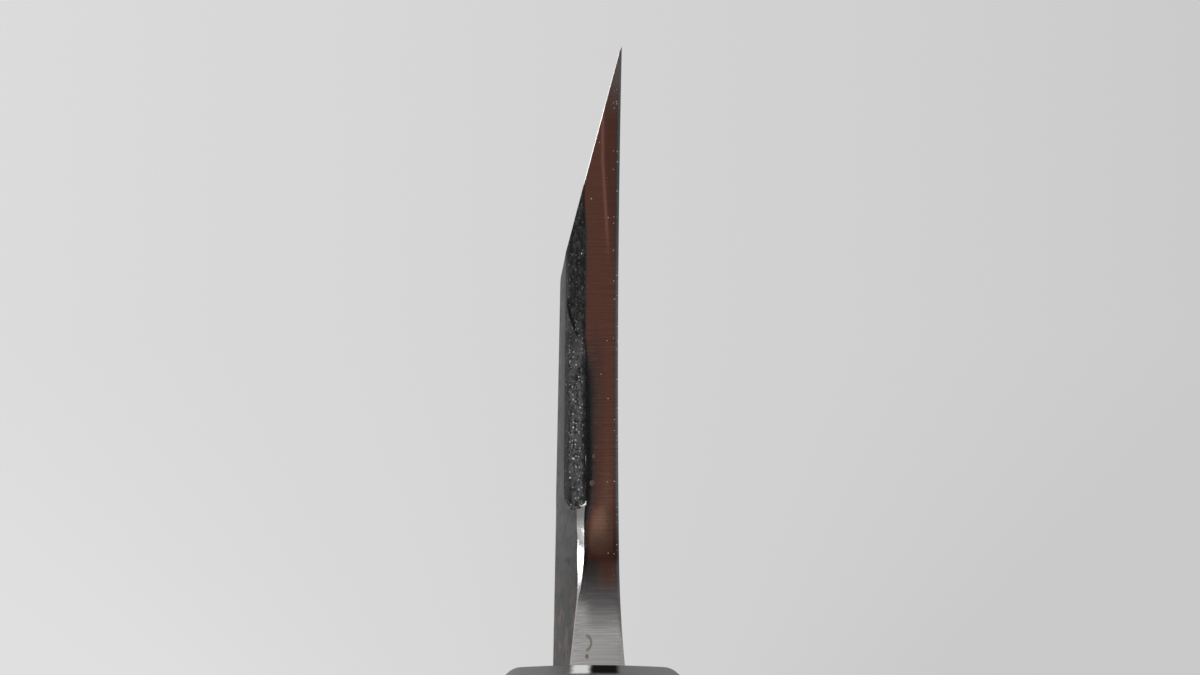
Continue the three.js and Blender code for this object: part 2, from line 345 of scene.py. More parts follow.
CROWN = ((-9, 0), (-6, 1), (-1.0, 1), (1.2, 0))  # run, and share of the rounds that crown the fillet
CROWN_LEFT_DEPTH = 0.075
CROWN_RIGHT_DEPTH = 0.03
CROWN_WIDTH = 1.6
BACK_ROUND_DEPTH = 0.07
BACK_ROUND_SHARE = 0.3  # the round of the back corner takes at most this share of the thickness
CORNER_FADE = (51.5, 53)  # heights over which the small bevel of the heel's corner grows
LEAST_CORNER = 0.5
CORNER_SHARE = 0.35  # it takes at most this share of the thickness
FIRST_LINE = 0.22  # depth of the first line inside the rear outline
FIRST_LINE_SHARE = 0.4  # it lies at most at this share of the chamfer
FIRST_LINE_GAP = 0.03  # and at least this far below the rounds
CHAMFER_SHARES = (0.25, 0.5, 0.75, 1)
INNER_LINES = 10
INNER_POWER = 1.5  # the lines lie closer together near the outline
METAL_LAYERS = {
    "iron": (("left", "weld"), (0.06, 0.12, 0.18, 0.24, 0.30, 0.38, 0.48, 0.60, 0.78)),
    "steel": (("weld", "right"), (0.5, 0.72, 0.8, 0.87, 0.94)),
}
TANG_RIBS = 8
NECK_RIBS = 5
FAN_SPINE_RIBS = 12
FAN_BLADE_RIBS = 16
GROUND_ROWS = 7
FORGED_ROWS = 42
BEVEL_ROWS = 12
STEEL_ROWS = 4
BLADE_COLUMNS = 96
COLUMN_POWER = 1.35  # the columns lie closer together near the tip
FORWARDS = (1.0, 0.0)
DOWNWARDS = (0.0, -1.0)


def tang_section(sizes, share):
    """Left, right, lowest and highest places of the tang, at a share of its length from the ferrule."""
    left = lerp(sizes.neck_side_x, TANG_LEFT_END, share)
    right = lerp(sizes.back_x + NECK_FLARE, TANG_RIGHT_END, share)
    return left, right, lerp(*TANG_LOW, share), lerp(*TANG_HIGH, share)


@dataclass
class Point:
    """A point of the blade's side view, with the places of its two skins."""

    y: float
    z: float
    left: float
    right: float
    inward: tuple = (0.0, 0.0)
    rounds: tuple = ()  # side, depth and width of each round of the rear face

    def pinch(self, corner):
        """Draws both skins in where a corner is bevelled."""
        self.left += corner
        self.right -= corner


class Blade:
    """Outline and skins of the blade, neck and tang.

    A run is a length along the rear outline from the fillet's top: up the heel it is positive, and down the
    fillet and along the neck it is negative.
    """

    def __init__(self, settings):
        sizes = Sizes(settings)
        low, high = (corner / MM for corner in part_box("edge_steel"))
        self.sizes = sizes
        self.length = high.y - low.y - sizes.fillet_radius
        self.edge_top = high.z
        self.weld_x = low.x
        self.bevel_end_x = sizes.back_x - sizes.edge_flat
        self.drop = self.edge_top - sizes.tip_z - sizes.tip_blunt
        taper = sizes.spine_thickness - sizes.shoulder_thickness
        self.lean = taper / (sizes.shoulder_z - sizes.heel_spine_z)
        self.points = []
        self.cells = []  # four points, left finish, right finish, whether in the neck
        self.rims = []  # two points, finish, whether in the neck
        self.build()

    # Surfaces

    def edge_z(self, y):
        return self.edge_top - self.drop * (y / self.length) ** EDGE_POWER

    def spine_z(self, y):
        rest = self.sizes.spine_rest_y
        if y < 0:
            return lerp(self.sizes.heel_spine_z, TANG_LOW[0], -y / self.sizes.neck_length)
        if y < rest:
            return self.sizes.heel_spine_z * (1 - y / rest) ** SPINE_HEEL_POWER
        return self.sizes.tip_z * ((y - rest) / (self.length - rest)) ** SPINE_TIP_POWER

    def bevel_rate(self, y):
        """Sideways run of the bevel for each millimetre of height. Its angle is kept square to the edge."""
        slope = EDGE_POWER * self.drop * (y / self.length) ** (EDGE_POWER - 1) / self.length
        return math.tan(BEVEL_ANGLE) * math.cos(math.atan(slope))

    def side_x(self, y, z):
        """The flat side, which draws in to the neck behind the heel."""
        sizes = self.sizes
        plane = sizes.back_x - sizes.spine_thickness
        plane += self.lean * (z - sizes.heel_spine_z) + DISTAL_TAPER * max(y, 0)
        return lerp(plane, sizes.neck_side_x, ease_out(ramp(y, sizes.draw_in_y, -sizes.neck_length)))

    def bevel_x(self, y, z):
        return self.bevel_end_x - (self.edge_z(y) - z) * self.bevel_rate(y)

    def bevel_z(self, y, x):
        """Height where the bevel has come out to x."""
        return self.edge_z(y) - (self.bevel_end_x - x) / self.bevel_rate(y)

    def back_x(self, y, z):
        """The flat back with its shallow hollow, or the back of the neck behind the heel."""
        sizes = self.sizes
        if y < 0:
            hollow = self.heel_hollow(z) * smoothstep(y, -HOLLOW_FADE, 0)
            return sizes.back_x - hollow + NECK_FLARE * ease_out(ramp(y, 0, -sizes.neck_length))
        end = self.length - HOLLOW_END
        grown = smoothstep(y, 0, HOLLOW_RAMP)
        along = grown * (1 - smoothstep(y, end - HOLLOW_RAMP, end))
        depth = self.heel_hollow(z) * (1 - grown) * (1 - along)
        return sizes.back_x - depth - sizes.hollow_depth * along * self.hollow_share(y, z)

    def hollow_share(self, y, z):
        low = self.spine_z(y) + SPINE_MARGIN
        high = self.edge_z(y) - EDGE_MARGIN
        return hump(clamp((z - low) / max(high - low, 1)))

    def heel_hollow(self, z):
        """Depth of the hollow at the heel, from the foot of the fillet up to the edge."""
        low = self.sizes.fillet_top_z - self.sizes.fillet_radius
        return self.sizes.heel_hollow * hump(ramp(z, low, self.edge_top))

    def flat_shoulder(self, y):
        """Height where the bevel meets the flat side. Close to the tip the bevel takes the whole side."""
        rate = self.bevel_rate(y)
        lean = self.side_x(y, 1) - self.side_x(y, 0)
        meeting = (self.side_x(y, 0) - self.bevel_x(y, 0)) / (rate - lean)
        return max(meeting, lerp(self.spine_z(y), self.edge_z(y), LEAST_FLAT_SHARE))

    def shoulder_z(self, y):
        """Height where the bevel starts. At the heel it starts higher, on the forged chamfer."""
        depth = self.sizes.forged_depth
        if y >= depth:
            return self.flat_shoulder(y)
        inner = self.side_x(depth, self.flat_shoulder(depth))
        chamfer = lerp(self.sizes.chamfer_x - TOP_BEND, inner, y / depth)
        return max(self.bevel_z(y, chamfer), self.flat_shoulder(depth))

    def weld_z(self, y):
        """Height where the weld comes out on the bevel."""
        return max(self.bevel_z(y, self.weld_x), self.shoulder_z(y))

    def fillet_row_z(self, y):
        """The line along the blade that starts where the fillet meets the heel."""
        top = self.sizes.fillet_top_z
        if y <= FAN_END_Y:
            return top
        start = self.spine_z(FAN_END_Y)
        share = (top - start) / (self.shoulder_z(FAN_END_Y) - start)
        return lerp(self.spine_z(y), self.shoulder_z(y), share)

    # Rows along the blade

    def low_rows(self):
        """Rows from the spine to the fillet's line, as shares of the height between them."""
        height = self.sizes.fillet_top_z - self.spine_z(FAN_END_Y)
        first = self.sizes.spine_corner / height
        count = FAN_BLADE_RIBS - 1
        return [("low", 0)] + [("low", lerp(first, 1, number / count)) for number in range(count)]

    def high_rows(self):
        """Rows from the fillet's line to the edge, each with its kind and its share of the kind's height."""
        height = self.shoulder_z(0) - self.sizes.fillet_top_z
        runs = [STEP_RUNS[0] * number / GROUND_ROWS for number in range(GROUND_ROWS)]
        runs += STEP_RUNS
        runs += [lerp(STEP_RUNS[-1], height, number / FORGED_ROWS) for number in range(1, FORGED_ROWS + 1)]
        rows = [("flat", run / height) for run in runs]
        for kind, count in (("bevel", BEVEL_ROWS), ("steel", STEEL_ROWS), ("edge", 1)):
            rows += [(kind, number / count) for number in range(1, count + 1)]
        return rows

    def row_z(self, row, y):
        kind, share = row
        if kind == "low":
            return lerp(self.spine_z(y), self.fillet_row_z(y), share)
        if kind == "flat":
            return lerp(self.fillet_row_z(y), self.shoulder_z(y), share)
        weld, edge = self.weld_z(y), self.edge_z(y)
        if kind == "bevel":
            return lerp(self.shoulder_z(y), weld, share)
        if kind == "edge":
            return edge
        return lerp(weld, edge - min(self.sizes.edge_bevel, SMALL_BEVEL_SHARE * (edge - weld)), share)

    def blade_point(self, row, y):
        """A point of the blade in front of the heel."""
        kind, share = row
        z = self.row_z(row, y)
        left = soft_max(self.side_x(y, z), self.bevel_x(y, z), SHOULDER_SOFT)
        point = Point(y, z, left, self.back_x(y, z))
        if kind == "edge":
            point.left = point.right - EDGE_SHARE * self.sizes.edge_flat
        if kind == "low" and share == 0:
            point.pinch(min(self.sizes.spine_corner, SPINE_CORNER_SHARE * (point.right - point.left)))
        return point

    # Heel and fillet

    def rounds(self, run):
        """Side, depth and width of the rounds of the rear face."""
        narrow = curve(NARROW_ROUND, run)
        crown = curve(CROWN, run)
        return (
            ("left", NARROW_SLOPE * narrow, narrow),
            ("left", curve(GENTLE_ROUND, run), GENTLE_WIDTH),
            ("left", CROWN_LEFT_DEPTH * crown, CROWN_WIDTH),
            ("right", CROWN_RIGHT_DEPTH * crown, CROWN_WIDTH),
            ("right", BACK_ROUND_DEPTH, self.sizes.back_round),
        )

    def round_depth(self, run):
        return sum(depth for side, depth, _ in self.rounds(run) if side == "left")

    def chamfer_depth(self, run):
        ground = self.sizes.ground_depth * lerp(1, SHALLOW_SHARE, smoothstep(run, *SHALLOW_RUNS))
        ground = lerp(FINE_CHAMFER, ground, ramp(run, *GROUND_RUNS))
        forged = smoothstep(run, STEP_RUNS[0], STEP_RUNS[-1])
        return lerp(self.round_depth(run) + ground, self.sizes.forged_depth, forged)

    def extra_draw(self, run):
        """How far the side is drawn in at the outline beyond the plain neck."""
        return self.sizes.heel_draw * ramp(run, *DRAW_RUNS) * curve(DRAW_KNOTS, run)

    def face_left(self, run, inner):
        """Where the heel's face ends on the bevel side, given the chamfer's inner line."""
        ground = self.sizes.chamfer_x - GROUND_SHIFT * (1 - smoothstep(run, *GROUND_SHIFT_RUNS))
        wave = noise.noise((0, 0, run * FORGED_WAVE_RATE))
        ground += FORGED_WAVE * wave * smoothstep(run, *FORGED_WAVE_RUNS)
        ground -= TOP_BEND * smoothstep(run, *TOP_BEND_RUNS)
        share = ramp(run, *GROUND_RUNS)
        fine = lerp(*FINE_CHAMFER_WIDTHS, smoothstep(share, 0, FINE_CHAMFER_END))
        return lerp(inner + fine, ground, share)

    def scale_lump(self, y, z):
        lumps = (weight * noise.noise((y * rate, z * rate, seed)) for rate, weight, seed in SCALE_LUMPS)
        return self.sizes.scale_relief * sum(lumps)

    def rear_point(self, y, z, depth, run, inward):
        """A point near the rear outline, at a depth inwards from it."""
        chamfer = self.chamfer_depth(run)
        draw = self.extra_draw(run)
        left = self.side_x(y, z) + draw * math.exp(-depth / DRAW_REACH)
        point = Point(y, z, left, self.back_x(y, z), inward)
        if depth < chamfer:
            inner_y, inner_z = (start + step * (chamfer - depth) for start, step in zip((y, z), inward))
            inner = self.side_x(inner_y, inner_z) + draw * math.exp(-chamfer / DRAW_REACH)
            share = ramp(depth, self.round_depth(run), chamfer)
            point.left = lerp(self.face_left(run, inner), inner, share)
            if depth > 0:
                point.left += self.scale_lump(y, z) * smoothstep(run, *SCALE_RUNS)
        if depth == 0:
            point.rounds = self.rounds(run)
        return point

    def heel_point(self, row, y):
        """A point of a row that starts at the heel's upright face, where y is the depth from the face."""
        kind, _ = row
        z = self.row_z(row, y)
        bevel = self.bevel_x(y, z)
        point = self.rear_point(y, z, y, self.row_run(row), FORWARDS)
        soft = SHOULDER_SOFT * smoothstep(y, self.sizes.forged_depth, FAN_END_Y / 2) + TINY
        if kind == "flat":
            point.left = soft_max(point.left, bevel, soft)
            return point
        point.left = soft_max(self.side_x(y, z), bevel, soft)
        point.rounds = ()
        width = point.right - bevel
        if kind == "edge":
            point.left = point.right - EDGE_SHARE * self.sizes.edge_flat
        elif y == 0:
            point.left += min(self.corner(z), CORNER_SHARE * width)
            fit = clamp(BACK_ROUND_SHARE * width / self.sizes.back_round)
            point.rounds = (("right", fit * BACK_ROUND_DEPTH, fit * self.sizes.back_round),)
        return point

    def row_run(self, row):
        return self.row_z(row, 0) - self.sizes.fillet_top_z

    def corner(self, z):
        """Size of the small bevel between the heel's face and the blade's bevel."""
        return self.sizes.bevel_corner * lerp(LEAST_CORNER, 1, smoothstep(z, *CORNER_FADE))

    def first_depth(self, run):
        """Depth of the first line inside the rear outline, below the rounds on the face."""
        first = min(FIRST_LINE, FIRST_LINE_SHARE * self.chamfer_depth(run))
        return max(first, self.round_depth(run) + FIRST_LINE_GAP)

    def depths(self, length, chamfer, first, to_spine):
        """Depths of a line's points from the rear outline to its other end."""
        made = [0, first] + [lerp(first, chamfer, share) for share in CHAMFER_SHARES]
        last = length - self.sizes.spine_corner if to_spine else length
        count = INNER_LINES if to_spine else INNER_LINES + 1
        made += [lerp(chamfer, last, (number / count) ** INNER_POWER) for number in range(1, count + 1)]
        return made + [length] if to_spine else made

    # The grid

    def add(self, points):
        """Keeps a line of points and gives their numbers."""
        first = len(self.points)
        self.points += points
        return list(range(first, len(self.points)))

    def tang_ribs(self):
        """Upright lines of points along the tang, from its end to the ferrule's mouth."""
        sizes = self.sizes
        ribs = []
        for number in range(TANG_RIBS):
            share = 1 - number / TANG_RIBS
            y = -sizes.neck_length - sizes.tang_length * share
            left, right, low, high = tang_section(sizes, share)
            depths = self.depths(high - low, FINE_CHAMFER, FIRST_LINE_SHARE * FINE_CHAMFER, True)
            rib = [Point(y, high - depth, left, right, DOWNWARDS) for depth in depths]
            for point in (rib[0], rib[-1]):
                point.pinch(sizes.spine_corner)
            ribs.append(self.add(rib))
        return ribs

    def rear_rib(self, start, end, run, inward, to_spine):
        length = math.dist(start, end)
        rib = []
        for depth in self.depths(length, self.chamfer_depth(run), self.first_depth(run), to_spine):
            y, z = (lerp(*ends, depth / length) for ends in zip(start, end))
            rib.append(self.rear_point(y, z, depth, run, inward))
        if to_spine:
            rib[-1].pinch(self.sizes.spine_corner)
        return self.add(rib)

    def neck_ribs(self):
        """Upright lines of points from the ferrule's mouth to the foot of the fillet."""
        sizes = self.sizes
        foot_z = sizes.fillet_top_z - sizes.fillet_radius
        quarter = sizes.fillet_radius * math.pi / 2
        ribs = []
        for number in range(NECK_RIBS):
            share = number / NECK_RIBS
            y = lerp(-sizes.neck_length, -sizes.fillet_radius, share)
            run = -quarter - sizes.fillet_radius * (1 - share)
            start = (y, lerp(TANG_HIGH[0], foot_z, share))
            ribs.append(self.rear_rib(start, (y, self.spine_z(y)), run, DOWNWARDS, True))
        return ribs

    def fan_ribs(self):
        """Lines of points from the fillet outwards, to the spine and then to the blade's first column."""
        radius = self.sizes.fillet_radius
        count = FAN_SPINE_RIBS + FAN_BLADE_RIBS
        rows = self.low_rows()
        ribs = []
        for number in range(count):
            angle = math.pi / 2 * (1 - number / count)
            inward = (math.cos(angle), -math.sin(angle))
            start = (radius * (inward[0] - 1), self.sizes.fillet_top_z + radius * inward[1])
            on_spine = number <= FAN_SPINE_RIBS
            end_y = lerp(-radius, FAN_END_Y, number / FAN_SPINE_RIBS) if on_spine else FAN_END_Y
            row = rows[max(number - FAN_SPINE_RIBS, 0)]
            end = (end_y, self.spine_z(end_y) if on_spine else self.row_z(row, end_y))
            ribs.append(self.rear_rib(start, end, -radius * angle, inward, on_spine))
        return ribs

    def heel_ribs(self):
        """Rows from the heel's face to the blade's first column."""
        ribs = []
        for row in self.high_rows():
            run = self.row_run(row)
            first = self.first_depth(run) if row[0] == "flat" else self.corner(self.row_z(row, 0))
            depths = self.depths(FAN_END_Y, self.chamfer_depth(run), first, False)
            ribs.append(self.add([self.heel_point(row, depth) for depth in depths]))
        return ribs

    def left_finish(self, row, run, depth_number):
        """Finish of a cell on the bevel side."""
        if row and row[0] != "flat":
            return "bevel" if depth_number else "heel"
        if depth_number > len(CHAMFER_SHARES):
            return "side"
        return "scale" if run > STEP_RUNS[-1] - TINY else "heel"

    def build(self):
        tang = self.tang_ribs() + self.neck_ribs()
        fan = self.fan_ribs()
        ribs = tang + fan + self.heel_ribs()
        rows = [None] * (len(tang) + len(fan)) + self.high_rows()
        neck_count = len(tang)  # cells before this line belong to the neck and tang
        for number, (rib, following) in enumerate(zip(ribs, ribs[1:])):
            in_neck = number < neck_count
            run = self.points[rib[0]].z - self.sizes.fillet_top_z
            self.rims.append((rib[0], following[0], "heel", in_neck))
            for depth, cell in enumerate(zip(rib, following, following[1:], rib[1:])):
                self.cells.append((cell, self.left_finish(rows[number + 1], run, depth), "back", in_neck))
        self.step_line = ribs[neck_count]
        corner = neck_count + FAN_SPINE_RIBS
        for number, (rib, following) in enumerate(zip(ribs[:corner], ribs[1:])):
            self.rims.append((rib[-1], following[-1], "spine", number < neck_count))
        self.add_rims(ribs[0], "spine", True)
        self.add_rims(ribs[-1], "bevel", False)
        self.build_front([rib[-1] for rib in ribs[corner:]])

    def add_rims(self, line, finish, in_neck):
        self.rims += [(a, b, finish, in_neck) for a, b in zip(line, line[1:])]

    def build_front(self, first_column):
        """The blade from the fan's end to the tip."""
        rows = self.low_rows() + self.high_rows()
        columns = [first_column]
        for number in range(1, BLADE_COLUMNS + 1):
            eased = 1 - (1 - number / BLADE_COLUMNS) ** COLUMN_POWER
            y = lerp(FAN_END_Y, self.length, eased)
            columns.append(self.add([self.blade_point(row, y) for row in rows]))
        for column, following in zip(columns, columns[1:]):
            self.rims.append((column[0], following[0], "spine", False))
            self.rims.append((column[-1], following[-1], "bevel", False))
            for (kind, _), cell in zip(rows[1:], zip(column, column[1:], following[1:], following)):
                finish = "side" if kind in ("low", "flat") else "bevel"
                self.cells.append((cell, finish, "back", False))
        self.add_rims(columns[-1], "spine", False)

    # Pieces

    def face_shift(self, point, x):
        """How far the rear face lies inside the outline at x, where its corners are rounded."""
        gaps = {"left": x - point.left, "right": point.right - x}
        return sum(depth * clamp(1 - gaps[side] / width) ** 2 for side, depth, width in point.rounds)

    def vertex(self, shell, number, key, x):
        point = self.points[number]
        shift = self.face_shift(point, x)
        position = (x, point.y + point.inward[0] * shift, point.z + point.inward[1] * shift)
        return shell.vertex((number, key), position)

    def skin(self, shell, number, layer):
        """The vertex of a point on its left skin, on the weld or on its right skin."""
        point = self.points[number]
        if layer == "weld" and point.left > self.weld_x - TINY:
            layer = "left"
        places = {"left": point.left, "weld": self.weld_x, "right": point.right}
        return self.vertex(shell, number, layer, places[layer])

    def line_across(self, shell, number, layers, shares):
        """Vertices across the outline at a point, from one layer to another."""
        start, end = (self.skin(shell, number, layer) for layer in layers)
        if start == end:
            return [start] * (len(shares) + 2)
        ends = (shell.positions[start][0], shell.positions[end][0])
        between = [self.vertex(shell, number, (layers, share), lerp(*ends, share)) for share in shares]
        return [start, *between, end]

    def across(self, shell, metal, a, b, finish):
        """Faces across one of the metals, between two points."""
        lines = [self.line_across(shell, number, *METAL_LAYERS[metal]) for number in (a, b)]
        shell.strip(*lines, finish)

    def iron_shell(self):
        shell = Shell()
        for cell, left_finish, right_finish, in_neck in self.cells:
            left = [self.skin(shell, number, "left") for number in cell]
            far = [self.skin(shell, number, "right" if in_neck else "weld") for number in cell]
            if left != far:
                shell.face(left, left_finish)
                shell.face(far, right_finish)
        for a, b, finish, in_neck in self.rims:
            self.across(shell, "iron", a, b, finish)
            if in_neck:
                self.across(shell, "steel", a, b, finish)
        for a, b in zip(self.step_line, self.step_line[1:]):
            self.across(shell, "steel", a, b, "back")
        return shell

    def steel_shell(self):
        shell = Shell()
        for cell, left_finish, right_finish, in_neck in self.cells:
            if not in_neck:
                shell.face([self.skin(shell, number, "weld") for number in cell], left_finish)
                shell.face([self.skin(shell, number, "right") for number in cell], right_finish)
        for a, b, finish, in_neck in self.rims:
            if not in_neck:
                self.across(shell, "steel", a, b, finish)
        for a, b in zip(self.step_line, self.step_line[1:]):
            self.across(shell, "steel", a, b, "heel")
        return shell


# Handle

FACET_POINTS = (0.2, 0.35, 0.5, 0.65, 0.8)  # shares of a facet's width
ARRIS_STEPS = 4
ROUND_STEPS = 4
FERRULE_RINGS = 6
HANDLE_RINGS = 24
BUTT_SHARES = (0.25, 0.5, 0.75)  # sizes of the rings on the butt's face
GLUE_GAP = 0.1  # between the ferrule and the wood


class Handle:
    """Rings of points round the handle and its ferrule."""

    def __init__(self, settings, blade_settings):
        self.sizes = Sizes(settings)
        self.blade = Sizes(blade_settings)
        heel = heel_y()
        ferrule_low, ferrule_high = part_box("horn_ferrule")
        wood_low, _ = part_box("handle_body")
        self.mouth_y = ferrule_high.y / MM - heel
        self.ferrule_back_y = ferrule_low.y / MM - heel
        self.butt_y = wood_low.y / MM - heel

    def section(self, y, inset, arris):
        """Points round the eight-sided section at y, drawn in by inset, with its corners rounded."""
        sizes = self.sizes
        share = (self.mouth_y - y) / (self.mouth_y - self.butt_y)
        half = lerp(sizes.front_width, sizes.butt_width, share) / 2 - inset
        height = lerp(sizes.front_height, sizes.butt_height, share)
        corner = lerp(sizes.front_corner, sizes.butt_corner, share)
        narrow = half - corner + inset
        middle = height / 2
        tall = middle - inset
        side = middle - corner
        right_half = [(narrow, -tall), (half, -side), (half, side), (narrow, tall)]
        corners = [Vector(place) for place in right_half] + [Vector((-x, -z)) for x, z in right_half]
        points = []
        for number, here in enumerate(corners):
            before, after = corners[number - 1], corners[(number + 1) % len(corners)]
            points += self.rounded_corner(before, here, after, arris)
            points += self.crowned_facet(here, after, arris)
        return [(x, y, z + middle) for x, z in points]

    def cut(self, arris):
        return arris * math.tan(math.pi / 8)

    def rounded_corner(self, before, here, after, arris):
        cut = self.cut(arris)
        start = here + (before - here).normalized() * cut
        end = here + (after - here).normalized() * cut
        inward = -(here.normalized()) * self.sizes.crown
        made = []
        for step in range(ARRIS_STEPS + 1):
            share = step / ARRIS_STEPS
            made.append(start.lerp(here, share).lerp(here.lerp(end, share), share) + inward)
        return made

    def crowned_facet(self, here, after, arris):
        along = (after - here).normalized()
        cut = self.cut(arris)
        start, end = here + along * cut, after - along * cut
        inward = Vector((-along.y, along.x)) * self.sizes.crown
        return [start.lerp(end, share) + inward * (2 * share - 1) ** 2 for share in FACET_POINTS]

    def circle(self, y, radius):
        """A ring with a point for each point of the section."""
        middle = self.sizes.front_height / 2
        made = []
        for x, _, z in self.section(self.mouth_y, 0, self.sizes.horn_arris):
            angle = math.atan2(z - middle, x)
            made.append((radius * math.cos(angle), y, middle + radius * math.sin(angle)))
        return made

    def slot_ring(self, y):
        """A four-sided ring of the slot at y, with a point for each point of the section."""
        grow = self.sizes.slot_grow
        left, right, low, high = tang_section(self.blade, (self.mouth_y - y) / self.blade.tang_length)
        half_width = (right - left) / 2 + grow
        half_height = (high - low) / 2 + grow
        made = []
        for x, _, z in self.circle(y, 1):
            up = z - self.sizes.front_height / 2
            reach = 1 / max(abs(x) / half_width, abs(up) / half_height)
            made.append(((left + right) / 2 + reach * x, y, (low + high) / 2 + reach * up))
        return made

    def rounded_end(self, end_y, towards, radius, arris):
        """Rings over a rounded edge, from the end's face to the long facets. Towards is +1 or -1 along Y."""
        made = []
        for step in range(ROUND_STEPS + 1):
            angle = math.pi / 2 * step / ROUND_STEPS
            y = end_y + towards * radius * (1 - math.cos(angle))
            made.append(self.section(y, radius * (1 - math.sin(angle)), arris))
        return made

    def body_rings(self, from_y, to_y, count, arris):
        """Rings between two places, without the rings at the places themselves."""
        return [self.section(lerp(from_y, to_y, number / count), 0, arris) for number in range(1, count)]

    def ferrule_shell(self):
        sizes = self.sizes
        lip = sizes.seam_round
        front = self.rounded_end(self.mouth_y, -1, sizes.mouth_round, sizes.horn_arris)
        back = self.rounded_end(self.ferrule_back_y, 1, lip, sizes.horn_arris)
        ends = (self.mouth_y - sizes.mouth_round, self.ferrule_back_y + lip)
        body = self.body_rings(*ends, FERRULE_RINGS, sizes.horn_arris)
        bore = [
            self.circle(self.ferrule_back_y, sizes.bore_radius),
            self.circle(self.mouth_y - lip, sizes.bore_radius),
            self.circle(self.mouth_y, sizes.bore_radius + lip),
        ]
        rings = front + body + back[::-1] + bore
        return self.loft(rings + rings[:1], "horn", False)

    def handle_shell(self):
        sizes = self.sizes
        shoulder_y = self.ferrule_back_y - GLUE_GAP
        butt = self.rounded_end(self.butt_y, 1, sizes.butt_round, sizes.wood_arris)
        middle = sizes.butt_height / 2
        cap = [[(x * share, y, lerp(middle, z, share)) for x, y, z in butt[0]] for share in BUTT_SHARES]
        ends = (self.butt_y + sizes.butt_round, shoulder_y - sizes.seam_round)
        body = self.body_rings(*ends, HANDLE_RINGS, sizes.wood_arris)
        shoulder = self.rounded_end(shoulder_y, -1, sizes.seam_round, sizes.wood_arris)[::-1]
        tenon_y = self.mouth_y - sizes.tenon_set_back
        tang_end_y = self.mouth_y - self.blade.tang_length - sizes.slot_grow
        tenon = [
            self.circle(shoulder_y, sizes.tenon_radius),
            self.circle(tenon_y - sizes.seam_round, sizes.tenon_radius),
            self.circle(tenon_y, sizes.tenon_radius - sizes.seam_round),
            self.slot_ring(tenon_y),
            self.slot_ring(tang_end_y),
        ]
        return self.loft(cap + butt + body + shoulder + tenon, "wood", True)

    def loft(self, rings, finish, capped):
        """A closed shell through rings of points. Both ends are capped, or the last ring is the first."""
        shell = Shell()
        numbered = [[shell.vertex(point, point) for point in ring] for ring in rings]
        for ring, following in zip(numbered, numbered[1:]):
            shell.strip(ring + ring[:1], following + following[:1], finish)
        if capped:
            for ring, points in ((numbered[0], rings[0]), (numbered[-1], rings[-1])):
                centre = tuple(sum(values) / len(points) for values in zip(*points))
                hub = shell.vertex(centre, centre)
                for a, b in zip(ring, ring[1:] + ring[:1]):
                    shell.face((a, b, hub), finish)
        return shell


# Shaders

GRAIN_CORE = 0.6  # share of a grain's radius that is full
GRAIN_EDGE = 0.9  # share of the kept grains that are full


class Signal:
    """The value of a socket. Arithmetic on it adds Math nodes."""

    def __init__(self, finish, socket):
        self.finish = finish
        self.socket = socket

    def math(self, operation, *values):
        return self.finish.node("ShaderNodeMath", {"operation": operation}, dict(enumerate(values)))

    def __add__(self, other):
        return self.math("ADD", self, other)

    def __sub__(self, other):
        return self.math("SUBTRACT", self, other)

    def __rsub__(self, other):
        return self.math("SUBTRACT", other, self)

    def __mul__(self, other):
        return self.math("MULTIPLY", self, other)

    def __truediv__(self, other):
        return self.math("DIVIDE", self, other)

    def __pow__(self, other):
        return self.math("POWER", self, other)

    def __abs__(self):
        return self.math("ABSOLUTE", self)

    __radd__ = __add__
    __rmul__ = __mul__

    def sine(self):
        return self.math("SINE", self)

    def root(self):
        return self.math("SQRT", self)

    def larger(self, other):
        return self.math("MAXIMUM", self, other)

    def smaller(self, other):
        return self.math("MINIMUM", self, other)

    def rise(self, start, end):
        """Goes smoothly from 0 at start to 1 at end."""
        low, high, first, last = (start, end, 0.0, 1.0) if start < end else (end, start, 1.0, 0.0)
        sockets = {0: self, 1: low, 2: high, 3: first, 4: last}
        return self.finish.node("ShaderNodeMapRange", {"interpolation_type": "SMOOTHSTEP"}, sockets)

    def band(self, start, full, fade, end):
        """Goes smoothly from 0 at start to 1 at full, and from 1 at fade back to 0 at end."""
        return self.rise(start, full) * self.rise(end, fade)

    def sway(self, reach):
        """How far a noise lies from its middle, times a reach."""
        return reach * (self - 0.5)


